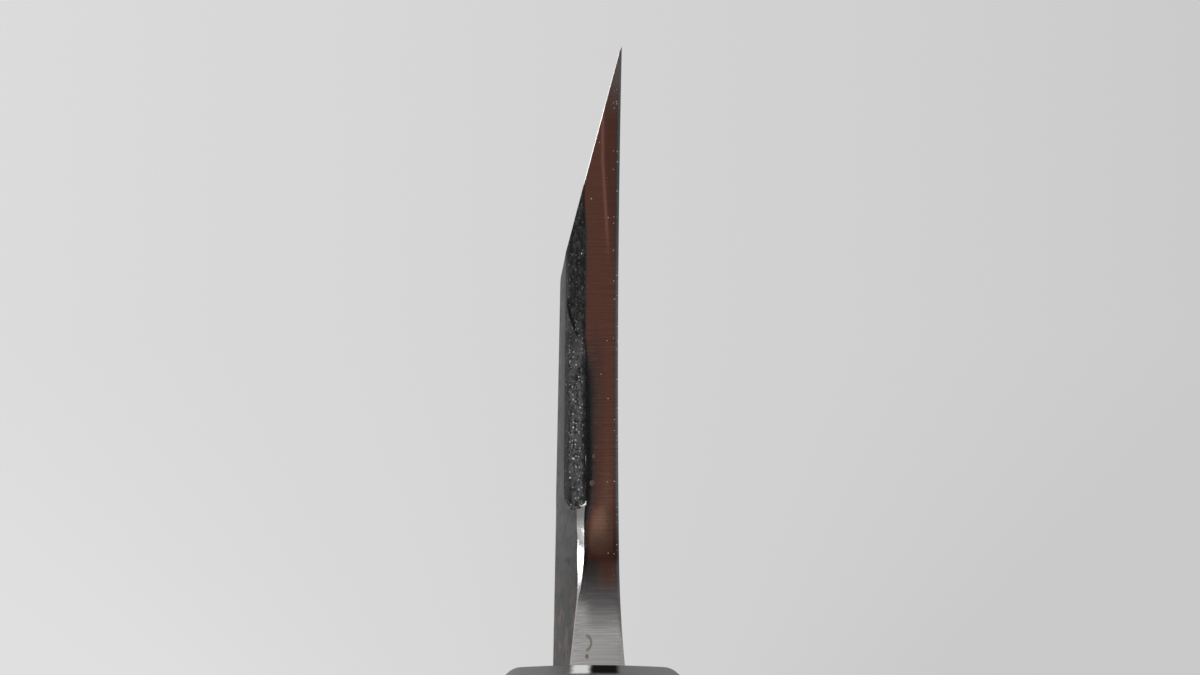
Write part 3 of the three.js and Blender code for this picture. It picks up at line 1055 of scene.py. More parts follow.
class Finish:
    """The node tree of a material, or of the world."""

    def __init__(self, owner):
        owner.use_nodes = True
        self.owner = owner
        self.tree = owner.node_tree
        self.tree.nodes.clear()

    def node(self, kind, settings, sockets, output=0):
        """Adds a node. Settings are set first, then the values and links of its sockets."""
        made = self.tree.nodes.new(kind)
        for name, value in settings.items():
            setattr(made, name, value)
        for key, value in sockets.items():
            if isinstance(value, Signal):
                self.tree.links.new(value.socket, made.inputs[key])
            else:
                made.inputs[key].default_value = value
        return Signal(self, made.outputs[output] if made.outputs else None)

    def vector(self, operation, vector, other, output=0):
        sockets = {0: vector, 1: other} if operation != "SCALE" else {0: vector, "Scale": other}
        return self.node("ShaderNodeVectorMath", {"operation": operation}, sockets, output)

    @cached_property
    def place(self):
        """The surface's place in the blade's frame, in millimetres."""
        spot = self.node("ShaderNodeTexCoord", {}, {}, "Object")
        return self.vector("SUBTRACT", self.vector("SCALE", spot, 1 / MM), (0, heel_y(), 0))

    def axes(self, vector):
        split = self.node("ShaderNodeSeparateXYZ", {}, {0: vector})
        return [Signal(self, socket) for socket in split.socket.node.outputs]

    def noise(self, stretch, detail=2.0, roughness=0.5, shift=0.0):
        """Noise over the surface, with so many lumps for each millimetre along X, Y and Z."""
        spot = self.vector("MULTIPLY", self.place, stretch)
        if shift:
            spot = self.vector("ADD", spot, (shift, shift, shift))
        sockets = {"Vector": spot, "Scale": 1.0, "Detail": detail, "Roughness": roughness}
        return self.node("ShaderNodeTexNoise", {}, sockets)

    def grains(self, density, size_share, kept):
        """Scattered grains: 1 inside a grain. So many lie on a millimetre, and a share of them is kept."""
        sockets = {"Vector": self.vector("SCALE", self.place, density), "Scale": 1.0}
        distance = self.node("ShaderNodeTexVoronoi", {}, sockets)
        chance, _, _ = self.axes(self.node("ShaderNodeTexVoronoi", {}, sockets, "Color"))
        inside = distance.rise(size_share, GRAIN_CORE * size_share)
        return inside * chance.rise(1 - kept, 1 - GRAIN_EDGE * kept)

    def mix(self, first, second, share):
        sockets = {0: share, 6: self.tint(first), 7: self.tint(second)}
        return self.node("ShaderNodeMix", {"data_type": "RGBA"}, sockets, 2)

    def tint(self, value):
        return value if isinstance(value, Signal) else (*value, 1)

    def layers(self, base, *coats):
        """Colours laid over a base one after the other, each with its mask."""
        for tone, mask in coats:
            base = self.mix(base, tone, mask)
        return base

    def bump(self, height, distance):
        """Relief of a height, so many millimetres deep."""
        sockets = {"Height": height, "Distance": distance * MM, "Strength": 1.0}
        return self.node("ShaderNodeBump", {}, sockets)

    def surface(self, sockets, patches=()):
        """Ends the tree in a shader. Patches are dull colours over it, each with its mask."""
        shader = self.node("ShaderNodeBsdfPrincipled", {}, sockets)
        for tone, mask in patches:
            dull = {"Base Color": self.tint(tone), "Roughness": 1.0, "Specular IOR Level": 0.0}
            patch = self.node("ShaderNodeBsdfPrincipled", {}, dull)
            shader = self.node("ShaderNodeMixShader", {}, {0: mask, 1: shader, 2: patch})
        return self.end(shader)

    def end(self, shader):
        self.node("ShaderNodeOutputMaterial", {}, {0: shader})
        return self.owner


def new_finish(name):
    return Finish(bpy.data.materials.new(name))


def shades():
    return bpy.context.scene.deba_colours


def times(factor, tone):
    return [factor * part for part in tone]


# Finishes

# A pair of places says where a mask starts and is full, and four say also where it fades and ends.
BLOOM_Z = (29, 25)
DARK_NECK_Z = (32, 27)


def patina_tone(finish):
    """Grey patina: soft mottling, a few dark smudges and scratches, and rust low on the neck."""
    patina = shades().patina
    _, _, z = finish.axes(finish.place)
    mottle = finish.noise((2.0, 0.35, 1.6), 5, 0.65, 6.0)
    smudge = finish.noise((1.6, 0.3, 1.1), 3, 0.6, 4.0).rise(0.57, 0.66)
    blotch = finish.noise((1.0, 0.5, 0.7), 2, 0.5, 9.0).rise(0.48, 0.60) * z.rise(*BLOOM_Z)
    scratch = finish.noise((3.0, 0.3, 25), 2, 0.5, 2.0).rise(0.66, 0.74)
    return finish.layers(
        times(0.75, patina),
        (times(1.25, patina), mottle.rise(0.36, 0.64)),
        (times(0.5, patina), 0.6 * z.rise(*DARK_NECK_Z)),
        (times(2.2, patina), 0.3 * scratch),
        (times(0.35, patina), 0.7 * smudge),
        (shades().bloom, 0.7 * blotch),
    )


PATINA_Y = (27, 14)
# the side gets painted shade next to the forge scale between these places
SCALE_SHADE_Y = (8.0, 1.2)
SCALE_SHADE_Z = (32, 36, 48, 51)


def satin_side():
    """Soft iron side: satin lengthwise lines, dulled with grey patina towards the neck, with painted shade
    next to the forge scale.
    """
    finish = new_finish("satin_soft_iron")
    iron = shades().iron
    _, y, z = finish.axes(finish.place)
    hair = finish.noise((20, 0.1, 35), 3)
    cloud = finish.noise((0.25, 0.06, 0.35), 2)
    ragged = finish.noise((0.5, 0.3, 0.5), 4, 0.6, 3.0)
    near_neck = (y + ragged.sway(10)).rise(*PATINA_Y)
    shade_by_scale = (y + ragged.sway(5)).rise(*SCALE_SHADE_Y) * z.band(*SCALE_SHADE_Z)
    # painted shade next to the forge scale, in the scale's dark tone
    dulled = finish.mix(patina_tone(finish), times(1.6, shades().scale), 0.75 * shade_by_scale)
    tone = finish.layers(
        iron,
        (times(0.9, iron), cloud.rise(0.3, 0.7)),
        (times(1.1, iron), hair.rise(0.5, 0.8)),
        (dulled, near_neck),
    )
    return finish.surface(
        {
            "Base Color": tone,
            "Metallic": 1 - 0.85 * near_neck,
            "Roughness": 0.34 + 0.08 * hair + 0.05 * cloud + 0.2 * near_neck,
            "Specular IOR Level": 0.12,
            "Normal": finish.bump(hair + near_neck * ragged, 0.004),
        }
    )


WELD_SOFT = 0.03  # the iron turns into steel over this distance on both sides of the weld
WELD_LINE = 0.06


def hazed_bevel():
    """Bevel: hazy soft iron below the wavy weld line and brighter steel above it."""
    finish = new_finish("stone_hazed_bevel")
    haze = shades().haze
    weld_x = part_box("edge_steel")[0].x / MM
    x, _, _ = finish.axes(finish.place)
    wave = finish.noise((0, 0.55, 0), 3, 0.6)
    fine_wave = finish.noise((0, 4.5, 0), 2, 0.5, 15)
    above = x - weld_x - wave.sway(0.5) - fine_wave.sway(0.07)
    hard = above.rise(-WELD_SOFT, WELD_SOFT)
    line = abs(above).rise(WELD_LINE, 0.0)
    stone = finish.noise((1, 45, 3), 3)
    flow = finish.noise((8, 0.5, 2.5), 4, 0.6, 30)
    tone = finish.layers(
        haze,
        (times(0.78, haze), flow.rise(0.35, 0.7)),
        (times(1.1, haze), 0.5 * stone.rise(0.5, 0.75)),
        (shades().steel, hard),
        (times(0.5, haze), 0.5 * line),
    )
    return finish.surface(
        {
            "Base Color": tone,
            "Metallic": 1.0,
            "Roughness": 0.44 + 0.08 * flow + 0.06 * stone - 0.24 * hard,
            "Normal": finish.bump(stone, 0.003),
        }
    )


STAINS = ((-0.05, 34.15, 0.17), (0.05, 35.8, 0.11), (-0.36, 23.65, 0.14))  # x, z and radius
RING_STAIN = (-0.42, 24.45, 0.32)
RING_WIDTH = (0.11, 0.02)
RING_OPENS = (-0.08, 0.1)  # the ring is open on its left
STAIN_SQUASH = 0.75  # stains are taller than wide
RUST_Z = (27, 29)  # below, the stains are tarnish
STREAK_X = 0.60  # the weld's streak on the heel
STREAK_BEND_Z = 54  # it bends to the right below this height
STREAK_RATE = 0.06
STREAK_WIDTH = 0.16
STREAK_Z = (47.5, 50.5, 56.0, 59.0)
# painted shade on the heel's face: right of the weld's streak, and low on its right side
RIGHT_SHADE_X = (0.0, 0.3)  # from the streak
RIGHT_SHADE_Z = (45, 52)
LOW_SHADE_X = (0.5, 1.05)
LOW_SHADE_Z = (27.3, 28.5, 32.3, 33.0)
# a painted reflection: a paler patch low on the heel's face, between these places
REFLECTION_PATCH_X = (-0.2, 0.1, 0.4, 1.05)
REFLECTION_PATCH_Z = (30.6, 32.0, 32.3, 33.0)
FACE_X = (-0.51, -0.44)  # left of this is the polished chamfer
# heights of the painted brown shade at the foot of the heel
FOOT_SHADE_Z = (29.0, 29.6, 30.0, 31.9)
# painted shade at the top of the fillet, left of the weld, between these places
ROOT_SHADE_X = (1.5, 0.8)
ROOT_SHADE_Z = (27.3, 28.6, 29.3, 30.0)
CHAMFER_Z = (30.4, 30.8)
# the polished chamfer turns from its painted lit tone to painted shade between these heights
CHAMFER_SHADE_Z = (31.0, 32.2)
DUSTY_X = (1.1, 1.35)
WORN_TIP_Z = (56, 60)
TIP_MARGIN = (0.016, 0.022)  # from the bevel, so that the small bevel of the corner stays bright
# a painted glint: a white spot on the step between the polished and the forged chamfer
GLINT_X = (-0.92, -0.75, -0.44, -0.38)
GLINT_Z = 33.04
GLINT_SLOPE = 0.25
GLINT_WIDTH = (0.16, 0.08)
GLINT_TONE = (1.0, 1.0, 1.0)


def brushed_heel():
    """Face of the heel and fillet: brushed crosswise, with the weld's streak, stains and dust, and painted
    shade, a painted reflection and a painted glint.
    """
    finish = new_finish("brushed_heel")
    colours = shades()
    polish = colours.polish
    x, _, z = finish.axes(finish.place)
    brush = finish.noise((0.12, 12, 12), 3, 0.7)
    strokes = finish.noise((0.5, 6, 6), 2, 0.5, 5.0)
    wander = finish.noise((0, 0, 0.4), 2)
    aside = x - STREAK_X - STREAK_RATE * (STREAK_BEND_Z - z).larger(0.0) + wander.sway(0.06)
    streak = abs(aside).rise(STREAK_WIDTH, 0.0) * z.band(*STREAK_Z)
    # low and shaded: painted shade on the heel's face
    low = z.band(*LOW_SHADE_Z) * x.rise(*LOW_SHADE_X)
    shaded = (aside.rise(*RIGHT_SHADE_X) * z.rise(*RIGHT_SHADE_Z)).larger(low)
    # bright: the painted reflection, a paler patch low on the heel's face
    bright = z.band(*REFLECTION_PATCH_Z) * x.band(*REFLECTION_PATCH_X)
    on_face = x.rise(*FACE_X)
    # foot: painted brown shade at the foot of the heel's face
    foot = z.band(*FOOT_SHADE_Z) * on_face
    # root: painted shade at the top of the fillet
    root = z.band(*ROOT_SHADE_Z) * on_face * x.rise(*ROOT_SHADE_X)
    on_chamfer = (1 - on_face) * z.rise(*CHAMFER_Z)
    # painted light and shade on the polished chamfer: paler low down, darker higher up
    chamfer = finish.mix(times(1.2, polish), times(0.5, polish), z.rise(*CHAMFER_SHADE_Z))
    fine_dust = finish.grains(4.5, 0.22, 0.4) * x.rise(*DUSTY_X)
    dust = finish.grains(2.0, 0.09, 0.3).larger(fine_dust)

    def stain_gap(middle_x, middle_z):
        return ((x - middle_x) ** 2 + (STAIN_SQUASH * (z - middle_z)) ** 2).root()

    ring_x, ring_z, ring_radius = RING_STAIN
    ring = abs(stain_gap(ring_x, ring_z) - ring_radius).rise(*RING_WIDTH) * (x - ring_x).rise(*RING_OPENS)
    rust = 0.8 * ring
    for stain_x, stain_z, radius in STAINS:
        rust = rust.larger(stain_gap(stain_x, stain_z).rise(radius, 0.5 * radius))
    tone = finish.layers(
        times(0.7, polish),
        (times(1.05, polish), brush.rise(0.3, 0.68)),
        (times(0.5, polish), 0.55 * shaded),
        (colours.foot_shade, 0.8 * foot),
        (times(0.4, polish), 0.6 * root),
        (chamfer, on_chamfer),
        # the weld's streak, and the painted reflection
        (times(1.8, polish), (0.7 * streak).larger(0.45 * bright)),
        (finish.mix(colours.tarnish, colours.rust, z.rise(*RUST_Z)), 0.85 * rust),
        (colours.dust_and_glint, 0.7 * dust),
    )
    blade = Sizes(bpy.context.scene.deba_blade)
    edge_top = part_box("edge_steel")[1].z / MM
    from_bevel = x - (blade.back_x - blade.edge_flat) + math.tan(BEVEL_ANGLE) * (edge_top - z)
    worn_tip = z.rise(*WORN_TIP_Z) * from_bevel.rise(*TIP_MARGIN)
    # a painted glint: a white spot on the step of the chamfer
    painted_glint = x.band(*GLINT_X) * abs(z - GLINT_SLOPE * x - GLINT_Z).rise(*GLINT_WIDTH)
    return finish.surface(
        {
            "Base Color": tone,
            "Metallic": 1 - (0.8 * dust).larger(0.45 * rust).larger(0.12 * worn_tip),
            "Roughness": 0.09 + 0.05 * strokes + 0.25 * worn_tip + 0.3 * rust.larger(dust),
            "Normal": finish.bump(brush, 0.002),
        },
        [(GLINT_TONE, painted_glint)],
    )


WORN_LEFT_X = (-1.6, -1.3)
WORN_RIGHT_X = (-0.5, -0.75)
WORN_Z = (45.0, 41.5)
FOLD_X = -1.32
FOLD_Z = 44.3
FOLD_LEAN = 0.27
FOLD_BEND = 0.1
FOLD_WIDTH = (0.11, 0.03)
FOLD_HEIGHT = (1.35, 0.95)
BESIDE_FOLD_X = (0.0, -0.15)  # from the fold
BESIDE_FOLD_Z = (41.0, 42.5, 46.0, 47.5)
RIM_X = (-1.40, -1.62)
RIM_Z = (50, 47)


def forge_scale():
    """Dark scale left by the forge: pitted, with bright grains painted as glints, most of them where it is
    worn, and patina on its rim.
    """
    finish = new_finish("forge_scale")
    scale = shades().scale
    x, _, z = finish.axes(finish.place)
    lumps = finish.noise((3.2, 3.2, 2.6), 3, 0.65)
    patches = finish.noise((0.9, 0.9, 0.45), 3, 0.6, 3.0)
    salt = finish.noise((8.0, 8.0, 8.0), 2, 0.6, 8.0).rise(0.48, 0.62)
    middle = (x + patches.sway(0.3)).rise(*WORN_RIGHT_X) * (x + lumps.sway(0.4)).rise(*WORN_LEFT_X)
    worn = z.rise(*WORN_Z) * (0.3 + 0.7 * patches.rise(0.40, 0.60)) * middle
    sparse = finish.grains(1.6, 0.14, 0.35)
    sparkle = finish.grains(2.6, 0.22, 0.3) * worn.rise(0.2, 0.6)
    fine = finish.grains(5.0, 0.36, 0.45) * (0.12 + 0.5 * worn)
    up_fold = z - FOLD_Z
    across_fold = x - FOLD_X + up_fold * (FOLD_LEAN - FOLD_BEND * up_fold) + lumps.sway(0.2)
    fold = abs(across_fold).rise(*FOLD_WIDTH) * abs(up_fold).rise(*FOLD_HEIGHT)
    beside_fold = across_fold.rise(*BESIDE_FOLD_X) * z.band(*BESIDE_FOLD_Z)
    rim = (x + patches.sway(0.5) + lumps.sway(0.3)).rise(*RIM_X) * z.rise(*RIM_Z)
    tone = finish.layers(
        times(0.4, scale),
        (times(2.4, scale), lumps.rise(0.40, 0.68)),
        (times(5.2, scale), worn * lumps.rise(0.34, 0.56)),
        (times(11.0, scale), 0.7 * worn * salt),
        (times(0.8, shades().patina), rim),
        (patina_tone(finish), 0.5 * beside_fold),
        (times(0.2, scale), fold),
        # bright grains painted as glints
        (shades().dust_and_glint, sparse.larger(sparkle).larger(fine)),
    )
    return finish.surface(
        {
            "Base Color": tone,
            "Metallic": 0.15,
            "Roughness": 0.5 + 0.2 * lumps,
            "Specular IOR Level": 0.08,
            "Normal": finish.bump(lumps + 0.5 * salt - 1.5 * fold, 0.06),
        }
    )


RIM_DEPTHS = (0.006, 0.03)  # depths at which the polished rim turns into the satin hollow
NECK_DULL_Y = (6, -4)


def ground_back():
    """Flat back: a satin hollow inside a bright polished rim."""
    finish = new_finish("ground_back")
    steel = shades().steel
    back_x = bpy.context.scene.deba_blade.back_x / MM
    x, y, _ = finish.axes(finish.place)
    hair = finish.noise((15, 0.25, 25), 3)
    waves = finish.noise((1, 0.15, 1.75), 3, 0.5, 35)
    hollow = (x + hair.sway(0.02)).rise(*(back_x - depth for depth in RIM_DEPTHS))
    tone = finish.layers(
        steel,
        (times(0.72, steel), hollow * (0.6 + 0.4 * waves)),
        (times(0.6, steel), 0.6 * y.rise(*NECK_DULL_Y)),
        (times(1.1, steel), 0.5 * hair.rise(0.55, 0.8)),
    )
    return finish.surface(
        {
            "Base Color": tone,
            "Metallic": 1.0,
            "Roughness": 0.17 + 0.16 * hollow + 0.10 * hair,
            "Normal": finish.bump(hair, 0.003),
        }
    )


def ground_spine():
    """Spine and tang end: belt-ground crosswise, with a little grey patina."""
    finish = new_finish("ground_spine")
    iron = shades().iron
    belt = finish.noise((1.5, 30, 6), 3)
    cloud = finish.noise((1.5, 0.6, 1.5), 3, 0.5, 10)
    tone = finish.layers(
        iron,
        (times(0.55, iron), cloud.rise(0.35, 0.75)),
        (times(1.15, iron), 0.6 * belt.rise(0.5, 0.75)),
    )
    return finish.surface(
        {
            "Base Color": tone,
            "Metallic": 1.0,
            "Roughness": 0.32 + 0.16 * belt + 0.1 * cloud,
            "Normal": finish.bump(belt, 0.006),
        }
    )


HORN_HIGHLIGHT_X = (-1.35, -0.95, -0.35, -0.02)  # a painted highlight next to the neck, and painted shade beside it
HORN_SHADE_X = (-0.2, 0.1, 1.3, 1.65)
# the painted highlight and shade lie on the ferrule's top, within these places
PATCH_Y = (-31, -27)
PATCH_Z = (22, 23)


def black_horn():
    """Black horn: lengthwise streaks under a worn satin polish, with a painted highlight at the neck and
    painted shade beside it.
    """
    finish = new_finish("black_horn")
    colours = shades()
    x, y, z = finish.axes(finish.place)
    streak = finish.noise((2.75, 0.25, 2.75), 4, 0.6)
    fibre = finish.noise((25, 0.6, 25), 2, 0.5, 15)
    rub = finish.noise((1.25, 1.25, 1.25), 3, 0.5, 40)
    on_top = y.rise(*PATCH_Y) * z.rise(*PATCH_Z)
    bent = x + streak.sway(0.25)
    tone = finish.layers(
        colours.horn,
        (colours.horn_streak, streak.rise(0.52, 0.78)),
        (times(2.2, colours.horn), 0.5 * fibre.rise(0.55, 0.75)),
    )
    return finish.surface(
        {
            "Base Color": tone,
            "Roughness": 0.34 + 0.10 * rub + 0.05 * fibre,
            "Normal": finish.bump(fibre, 0.004),
        },
        [
            # painted shade and a painted highlight on the ferrule's top next to the neck
            (colours.horn, bent.band(*HORN_SHADE_X) * on_top),
            (colours.horn_highlight, bent.band(*HORN_HIGHLIGHT_X) * on_top),
        ],
    )


RING_CENTRE_X = -46
RING_CENTRE_Z = -30
RING_SPACING = 2.3
RING_SHARPNESS = 3


def sanded_wood():
    """Sanded wood: growth rings round a centre outside the handle, and fibres and fine pores along it."""
    finish = new_finish("sanded_wood")
    colours = shades()
    x, _, z = finish.axes(finish.place)
    drift = finish.noise((0.25, 0.04, 0.25), 3)
    distance = ((x - RING_CENTRE_X) ** 2 + (z - RING_CENTRE_Z) ** 2).root() + 5 * drift
    ring = (0.5 + 0.5 * (distance * (2 * math.pi / RING_SPACING)).sine()) ** RING_SHARPNESS
    fibre = finish.noise((13, 0.25, 13), 4, 0.6, 10)
    pores = finish.noise((37.5, 0.8, 37.5), 2, 0.5, 25).rise(0.60, 0.70)
    cloud = finish.noise((0.45, 0.1, 0.45), 2, 0.5, 55)
    tone = finish.layers(
        colours.wood,
        (colours.grain, 0.42 * ring + 0.5 * fibre.rise(0.3, 0.75) + cloud.sway(0.25)),
        (times(0.62, colours.grain), 0.55 * pores),
    )
    return finish.surface(
        {
            "Base Color": tone,
            "Roughness": 0.52 + 0.14 * fibre + 0.1 * pores,
            "Normal": finish.bump(fibre - 0.8 * pores - 0.3 * ring, 0.02),
        }
    )


def dark_resin():
    """Dark resin: cloudy, with a fine dull grain."""
    finish = new_finish("bedding_resin")
    resin = shades().resin
    cloud = finish.noise((3, 3, 3), 4, 0.6)
    fine = finish.noise((20, 20, 20), 2, 0.5, 15)
    return finish.surface(
        {
            "Base Color": finish.mix(resin, times(0.45, resin), cloud.rise(0.35, 0.7)),
            "Roughness": 0.45 + 0.25 * fine,
            "Normal": finish.bump(fine + cloud, 0.03),
        }
    )


@cache
def metals():
    """Materials of the blade by finish. They are made once, because both metals use them."""
    return {
        "side": satin_side(),
        "bevel": hazed_bevel(),
        "heel": brushed_heel(),
        "scale": forge_scale(),
        "back": ground_back(),
        "spine": ground_spine(),
    }


# Studio

FLOOR_REACH = 40.0
FLOOR_FADE = (0.21, 0.335)  # metres from the middle, where the floor turns into the background
DARKEST = 0.585
PALEST = 0.745
CARD_RADIUS = 0.45
CARD_AZIMUTHS = (-56, 75)  # degrees round the heel, from straight behind the camera
CARD_STEPS = 48
CARD_LIFT = 0.0006
CARD_FOOT = 0.2  # the card lies on the floor from this radius outwards
CARD_TOP = 58  # degrees above the horizon
WARM_REACH = (0.36, 0.09)  # the card's tones change between these sines of the azimuth
DIM_LEFT = (-0.42, -0.2)
PALE_LEFT = (-0.12, -0.15)
PALE_RIGHT = (0.14, 0.77)
PALE_RIGHT_SHARE = 0.27
WARM_STEP = (-0.06, -0.03)  # and the warm middle reaches higher to the right of this
LEFT_WARM_TOP = (0.02, -0.035)  # heights for each unit of the card's radius
RIGHT_WARM_TOP = (0.5, 0.2)
PALE_LEFT_TOP = (0.45, 0.78)
PALE_TOPS = ((0.1, 0.05, 0.35), (0.9, 0.3, 1.55))  # a share, and the heights where it starts and is full
KEY_PLACE = Vector((-0.56, -0.049, 0.125))
KEY_SIZE = (0.21, 0.25)
SENSOR_WIDTH = 36
NEAREST = 0.01  # metres from the camera


def heel_target(studio):
    """The point of the heel at the camera's height, in metres."""
    return Vector((0, heel_y() * MM, studio.height))


def background_tone(finish, sideways, studio):
    """Grey of the background in a direction, paler to the left."""
    level = (studio.level - studio.tilt * sideways).larger(DARKEST).smaller(PALEST)
    return finish.node("ShaderNodeCombineColor", {}, {0: level, 1: level, 2: level})


def stage_piece(name, corners, faces, material):
    mesh = bpy.data.meshes.new(name)
    mesh.from_pydata(corners, [], faces)
    mesh.materials.append(material)
    piece = link(bpy.data.objects.new(name, mesh))
    return piece


def make_world(studio):
    world = bpy.data.worlds.new("studio")
    bpy.context.scene.world = world
    finish = Finish(world)
    direction = finish.node("ShaderNodeTexCoord", {}, {}, "Generated")
    tone = background_tone(finish, finish.axes(direction)[0], studio)
    light = finish.node("ShaderNodeBackground", {}, {"Color": tone})
    finish.node("ShaderNodeOutputWorld", {}, {0: light})


def make_floor(studio):
    """A pale floor that keeps the knife's shadow and runs into the background without a horizon."""
    finish = new_finish("studio_floor")
    place = finish.node("ShaderNodeNewGeometry", {}, {}, "Position")
    reach = finish.vector("LENGTH", place, (0, 0, 0), "Value")
    sideways = finish.axes(finish.vector("NORMALIZE", place, (0, 0, 0)))[0]
    near = finish.node("ShaderNodeBsdfDiffuse", {}, {"Color": (*studio.floor, 1)})
    far = finish.node("ShaderNodeEmission", {}, {"Color": background_tone(finish, sideways, studio)})
    mixed = finish.node("ShaderNodeMixShader", {}, {0: reach.rise(*FLOOR_FADE), 1: near, 2: far})
    corners = [(-1, -1), (1, -1), (1, 1), (-1, 1)]
    corners = [(x * FLOOR_REACH, y * FLOOR_REACH, 0) for x, y in corners]
    stage_piece("studio_floor", corners, [(0, 1, 2, 3)], finish.end(mixed))


def card_tone(finish, studio):
    """The card's colours by azimuth and height: a warm middle, dark ends, and paler towards the top."""
    place = finish.node("ShaderNodeNewGeometry", {}, {}, "Position")
    x, y, z = finish.axes(finish.vector("SUBTRACT", place, heel_target(studio)))
    aside = x / (x * x + y * y).root()
    height = z / CARD_RADIUS
    right = aside.rise(*WARM_STEP)
    warm_top = height.rise(*LEFT_WARM_TOP) * (1 - right) + height.rise(*RIGHT_WARM_TOP) * right
    first, second = (share * height.rise(start, full) for share, start, full in PALE_TOPS)
    pale = (first + second).larger(PALE_RIGHT_SHARE * aside.rise(*PALE_RIGHT))
    pale = pale.larger(height.rise(*PALE_LEFT_TOP) * aside.rise(*PALE_LEFT))
    return finish.layers(
        studio.dark_card,
        (studio.dim_card, aside.rise(*DIM_LEFT)),
        (studio.warm_card, abs(aside).rise(*WARM_REACH) * warm_top),
        ([studio.level] * 3, pale),
    )


def make_card(studio):
    """A curved card behind the camera, which only polished surfaces see."""
    finish = new_finish("studio_card")
    light = finish.node("ShaderNodeEmission", {}, {"Color": card_tone(finish, studio)})
    heel = heel_target(studio)
    top = studio.height + CARD_RADIUS * math.tan(math.radians(CARD_TOP))
    outline = ((CARD_FOOT, CARD_LIFT), (CARD_RADIUS, CARD_LIFT), (CARD_RADIUS, top))
    corners = []
    for number in range(CARD_STEPS + 1):
        angle = math.radians(lerp(*CARD_AZIMUTHS, number / CARD_STEPS))
        corners += [(r * math.sin(angle), heel.y - r * math.cos(angle), up) for r, up in outline]
    faces = [(n + k, n + k + 3, n + k + 4, n + k + 1) for n in range(0, 3 * CARD_STEPS, 3) for k in range(2)]
    card = stage_piece("studio_card", corners, faces, finish.end(light))
    card.visible_camera = False
    card.visible_diffuse = False
    card.visible_shadow = False


def make_key_lamp(studio):
    data = bpy.data.lights.new("key_lamp", "AREA")
    data.shape = "RECTANGLE"
    data.size, data.size_y = KEY_SIZE
    data.energy = studio.key
    lamp = link(bpy.data.objects.new("key_lamp", data))
    lamp.location = KEY_PLACE
    lamp.rotation_euler = (heel_target(studio) - KEY_PLACE).to_track_quat("-Z", "Y").to_euler()
    lamp.visible_camera = False


def make_camera(studio):
    data = bpy.data.cameras.new("camera")
    data.sensor_width = SENSOR_WIDTH
    data.lens = studio.lens
    data.clip_start = NEAREST
    camera = link(bpy.data.objects.new("camera", data))
    camera.location = heel_target(studio) + Vector((studio.aside, -studio.distance, 0))
    camera.rotation_euler = (math.radians(90), 0, 0)
    bpy.context.scene.camera = camera


# Operators

BLADE_SHARP_ANGLE = math.radians(11)
HANDLE_SHARP_ANGLE = math.radians(40)


def mount(piece, node):
    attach(piece, BODY)
    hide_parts(node)


class DEBA_OT_stage(bpy.types.Operator):
    """Sets the background, the floor, the card, the lamp and the camera"""

    bl_idname = "deba.stage"
    bl_label = "Studio"

    def execute(self, context):
        context.scene.view_settings.view_transform = "Standard"
        for make in (make_world, make_floor, make_card, make_key_lamp, make_camera):
            make(context.scene.deba_studio)
        return {"FINISHED"}


class DEBA_OT_soft_iron(bpy.types.Operator):
    """Builds the soft iron body of the blade with its neck and tang"""

    bl_idname = "deba.soft_iron"
    bl_label = "Soft Iron Body"

    def execute(self, context):
        shell = Blade(context.scene.deba_blade).iron_shell()
        piece = shell.piece("iron_body", metals(), BLADE_SHARP_ANGLE)
        mount(piece, "soft_iron_body")
        return {"FINISHED"}


class DEBA_OT_edge_steel(bpy.types.Operator):
    """Builds the hard steel layer with the cutting edge and the flat back"""

    bl_idname = "deba.edge_steel"
    bl_label = "Edge Steel"

    def execute(self, context):
        shell = Blade(context.scene.deba_blade).steel_shell()
        piece = shell.piece("steel_layer", metals(), BLADE_SHARP_ANGLE)
        mount(piece, "edge_steel")
        return {"FINISHED"}


class DEBA_OT_ferrule(bpy.types.Operator):
    """Builds the eight-sided horn ferrule"""

    bl_idname = "deba.ferrule"
    bl_label = "Horn Ferrule"

    def execute(self, context):
        shell = Handle(context.scene.deba_handle, context.scene.deba_blade).ferrule_shell()
        piece = shell.piece("ferrule", {"horn": black_horn()}, HANDLE_SHARP_ANGLE)
        mount(piece, "horn_ferrule")
        return {"FINISHED"}


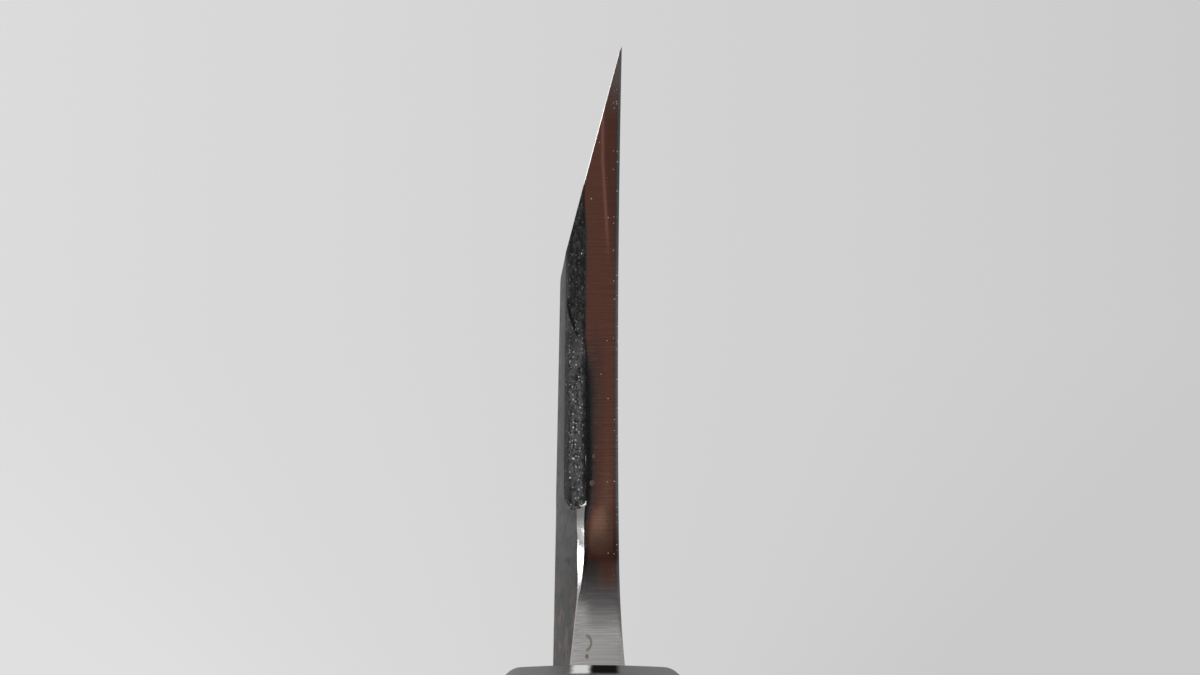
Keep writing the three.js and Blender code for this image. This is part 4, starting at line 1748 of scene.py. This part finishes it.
class DEBA_OT_handle(bpy.types.Operator):
    """Builds the wooden handle with its tenon and tang slot"""

    bl_idname = "deba.handle"
    bl_label = "Wooden Handle"

    def execute(self, context):
        shell = Handle(context.scene.deba_handle, context.scene.deba_blade).handle_shell()
        piece = shell.piece("handle", {"wood": sanded_wood()}, HANDLE_SHARP_ANGLE)
        mount(piece, "handle_body")
        return {"FINISHED"}


class DEBA_OT_bedding(bpy.types.Operator):
    """Finishes the resin that beds the tang in the handle"""

    bl_idname = "deba.bedding"
    bl_label = "Tang Bedding"

    def execute(self, context):
        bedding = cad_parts["tang_bedding"]
        bedding.data.materials.clear()
        bedding.data.materials.append(dark_resin())
        return {"FINISHED"}


# Add-on

GROUPS = {
    "deba_blade": BladeSizes,
    "deba_handle": HandleSizes,
    "deba_colours": KnifeColours,
    "deba_studio": StudioSettings,
}
OPERATORS = (
    DEBA_OT_stage,
    DEBA_OT_soft_iron,
    DEBA_OT_edge_steel,
    DEBA_OT_ferrule,
    DEBA_OT_handle,
    DEBA_OT_bedding,
)


class DEBA_PT_knife(bpy.types.Panel):
    """Lists the knife's settings and the steps that build it"""

    bl_idname = "DEBA_PT_knife"
    bl_label = "Deba Knife"
    bl_space_type = "VIEW_3D"
    bl_region_type = "UI"
    bl_category = "Knife"

    def draw(self, context):
        for name in GROUPS:
            settings = getattr(context.scene, name)
            for field in type(settings).__annotations__:
                self.layout.prop(settings, field)
        for operator in OPERATORS:
            self.layout.operator(operator.bl_idname)


CLASSES = (*GROUPS.values(), *OPERATORS, DEBA_PT_knife)


def register():
    for made in CLASSES:
        bpy.utils.register_class(made)
    for name, group in GROUPS.items():
        setattr(bpy.types.Scene, name, PointerProperty(type=group))


def unregister():
    for name in GROUPS:
        delattr(bpy.types.Scene, name)
    for made in reversed(CLASSES):
        bpy.utils.unregister_class(made)


def main():
    register()
    bpy.ops.deba.stage()
    bpy.ops.deba.soft_iron()
    bpy.ops.deba.edge_steel()
    bpy.ops.deba.ferrule()
    bpy.ops.deba.handle()
    bpy.ops.deba.bedding()


if __name__ == "__main__":
    main()
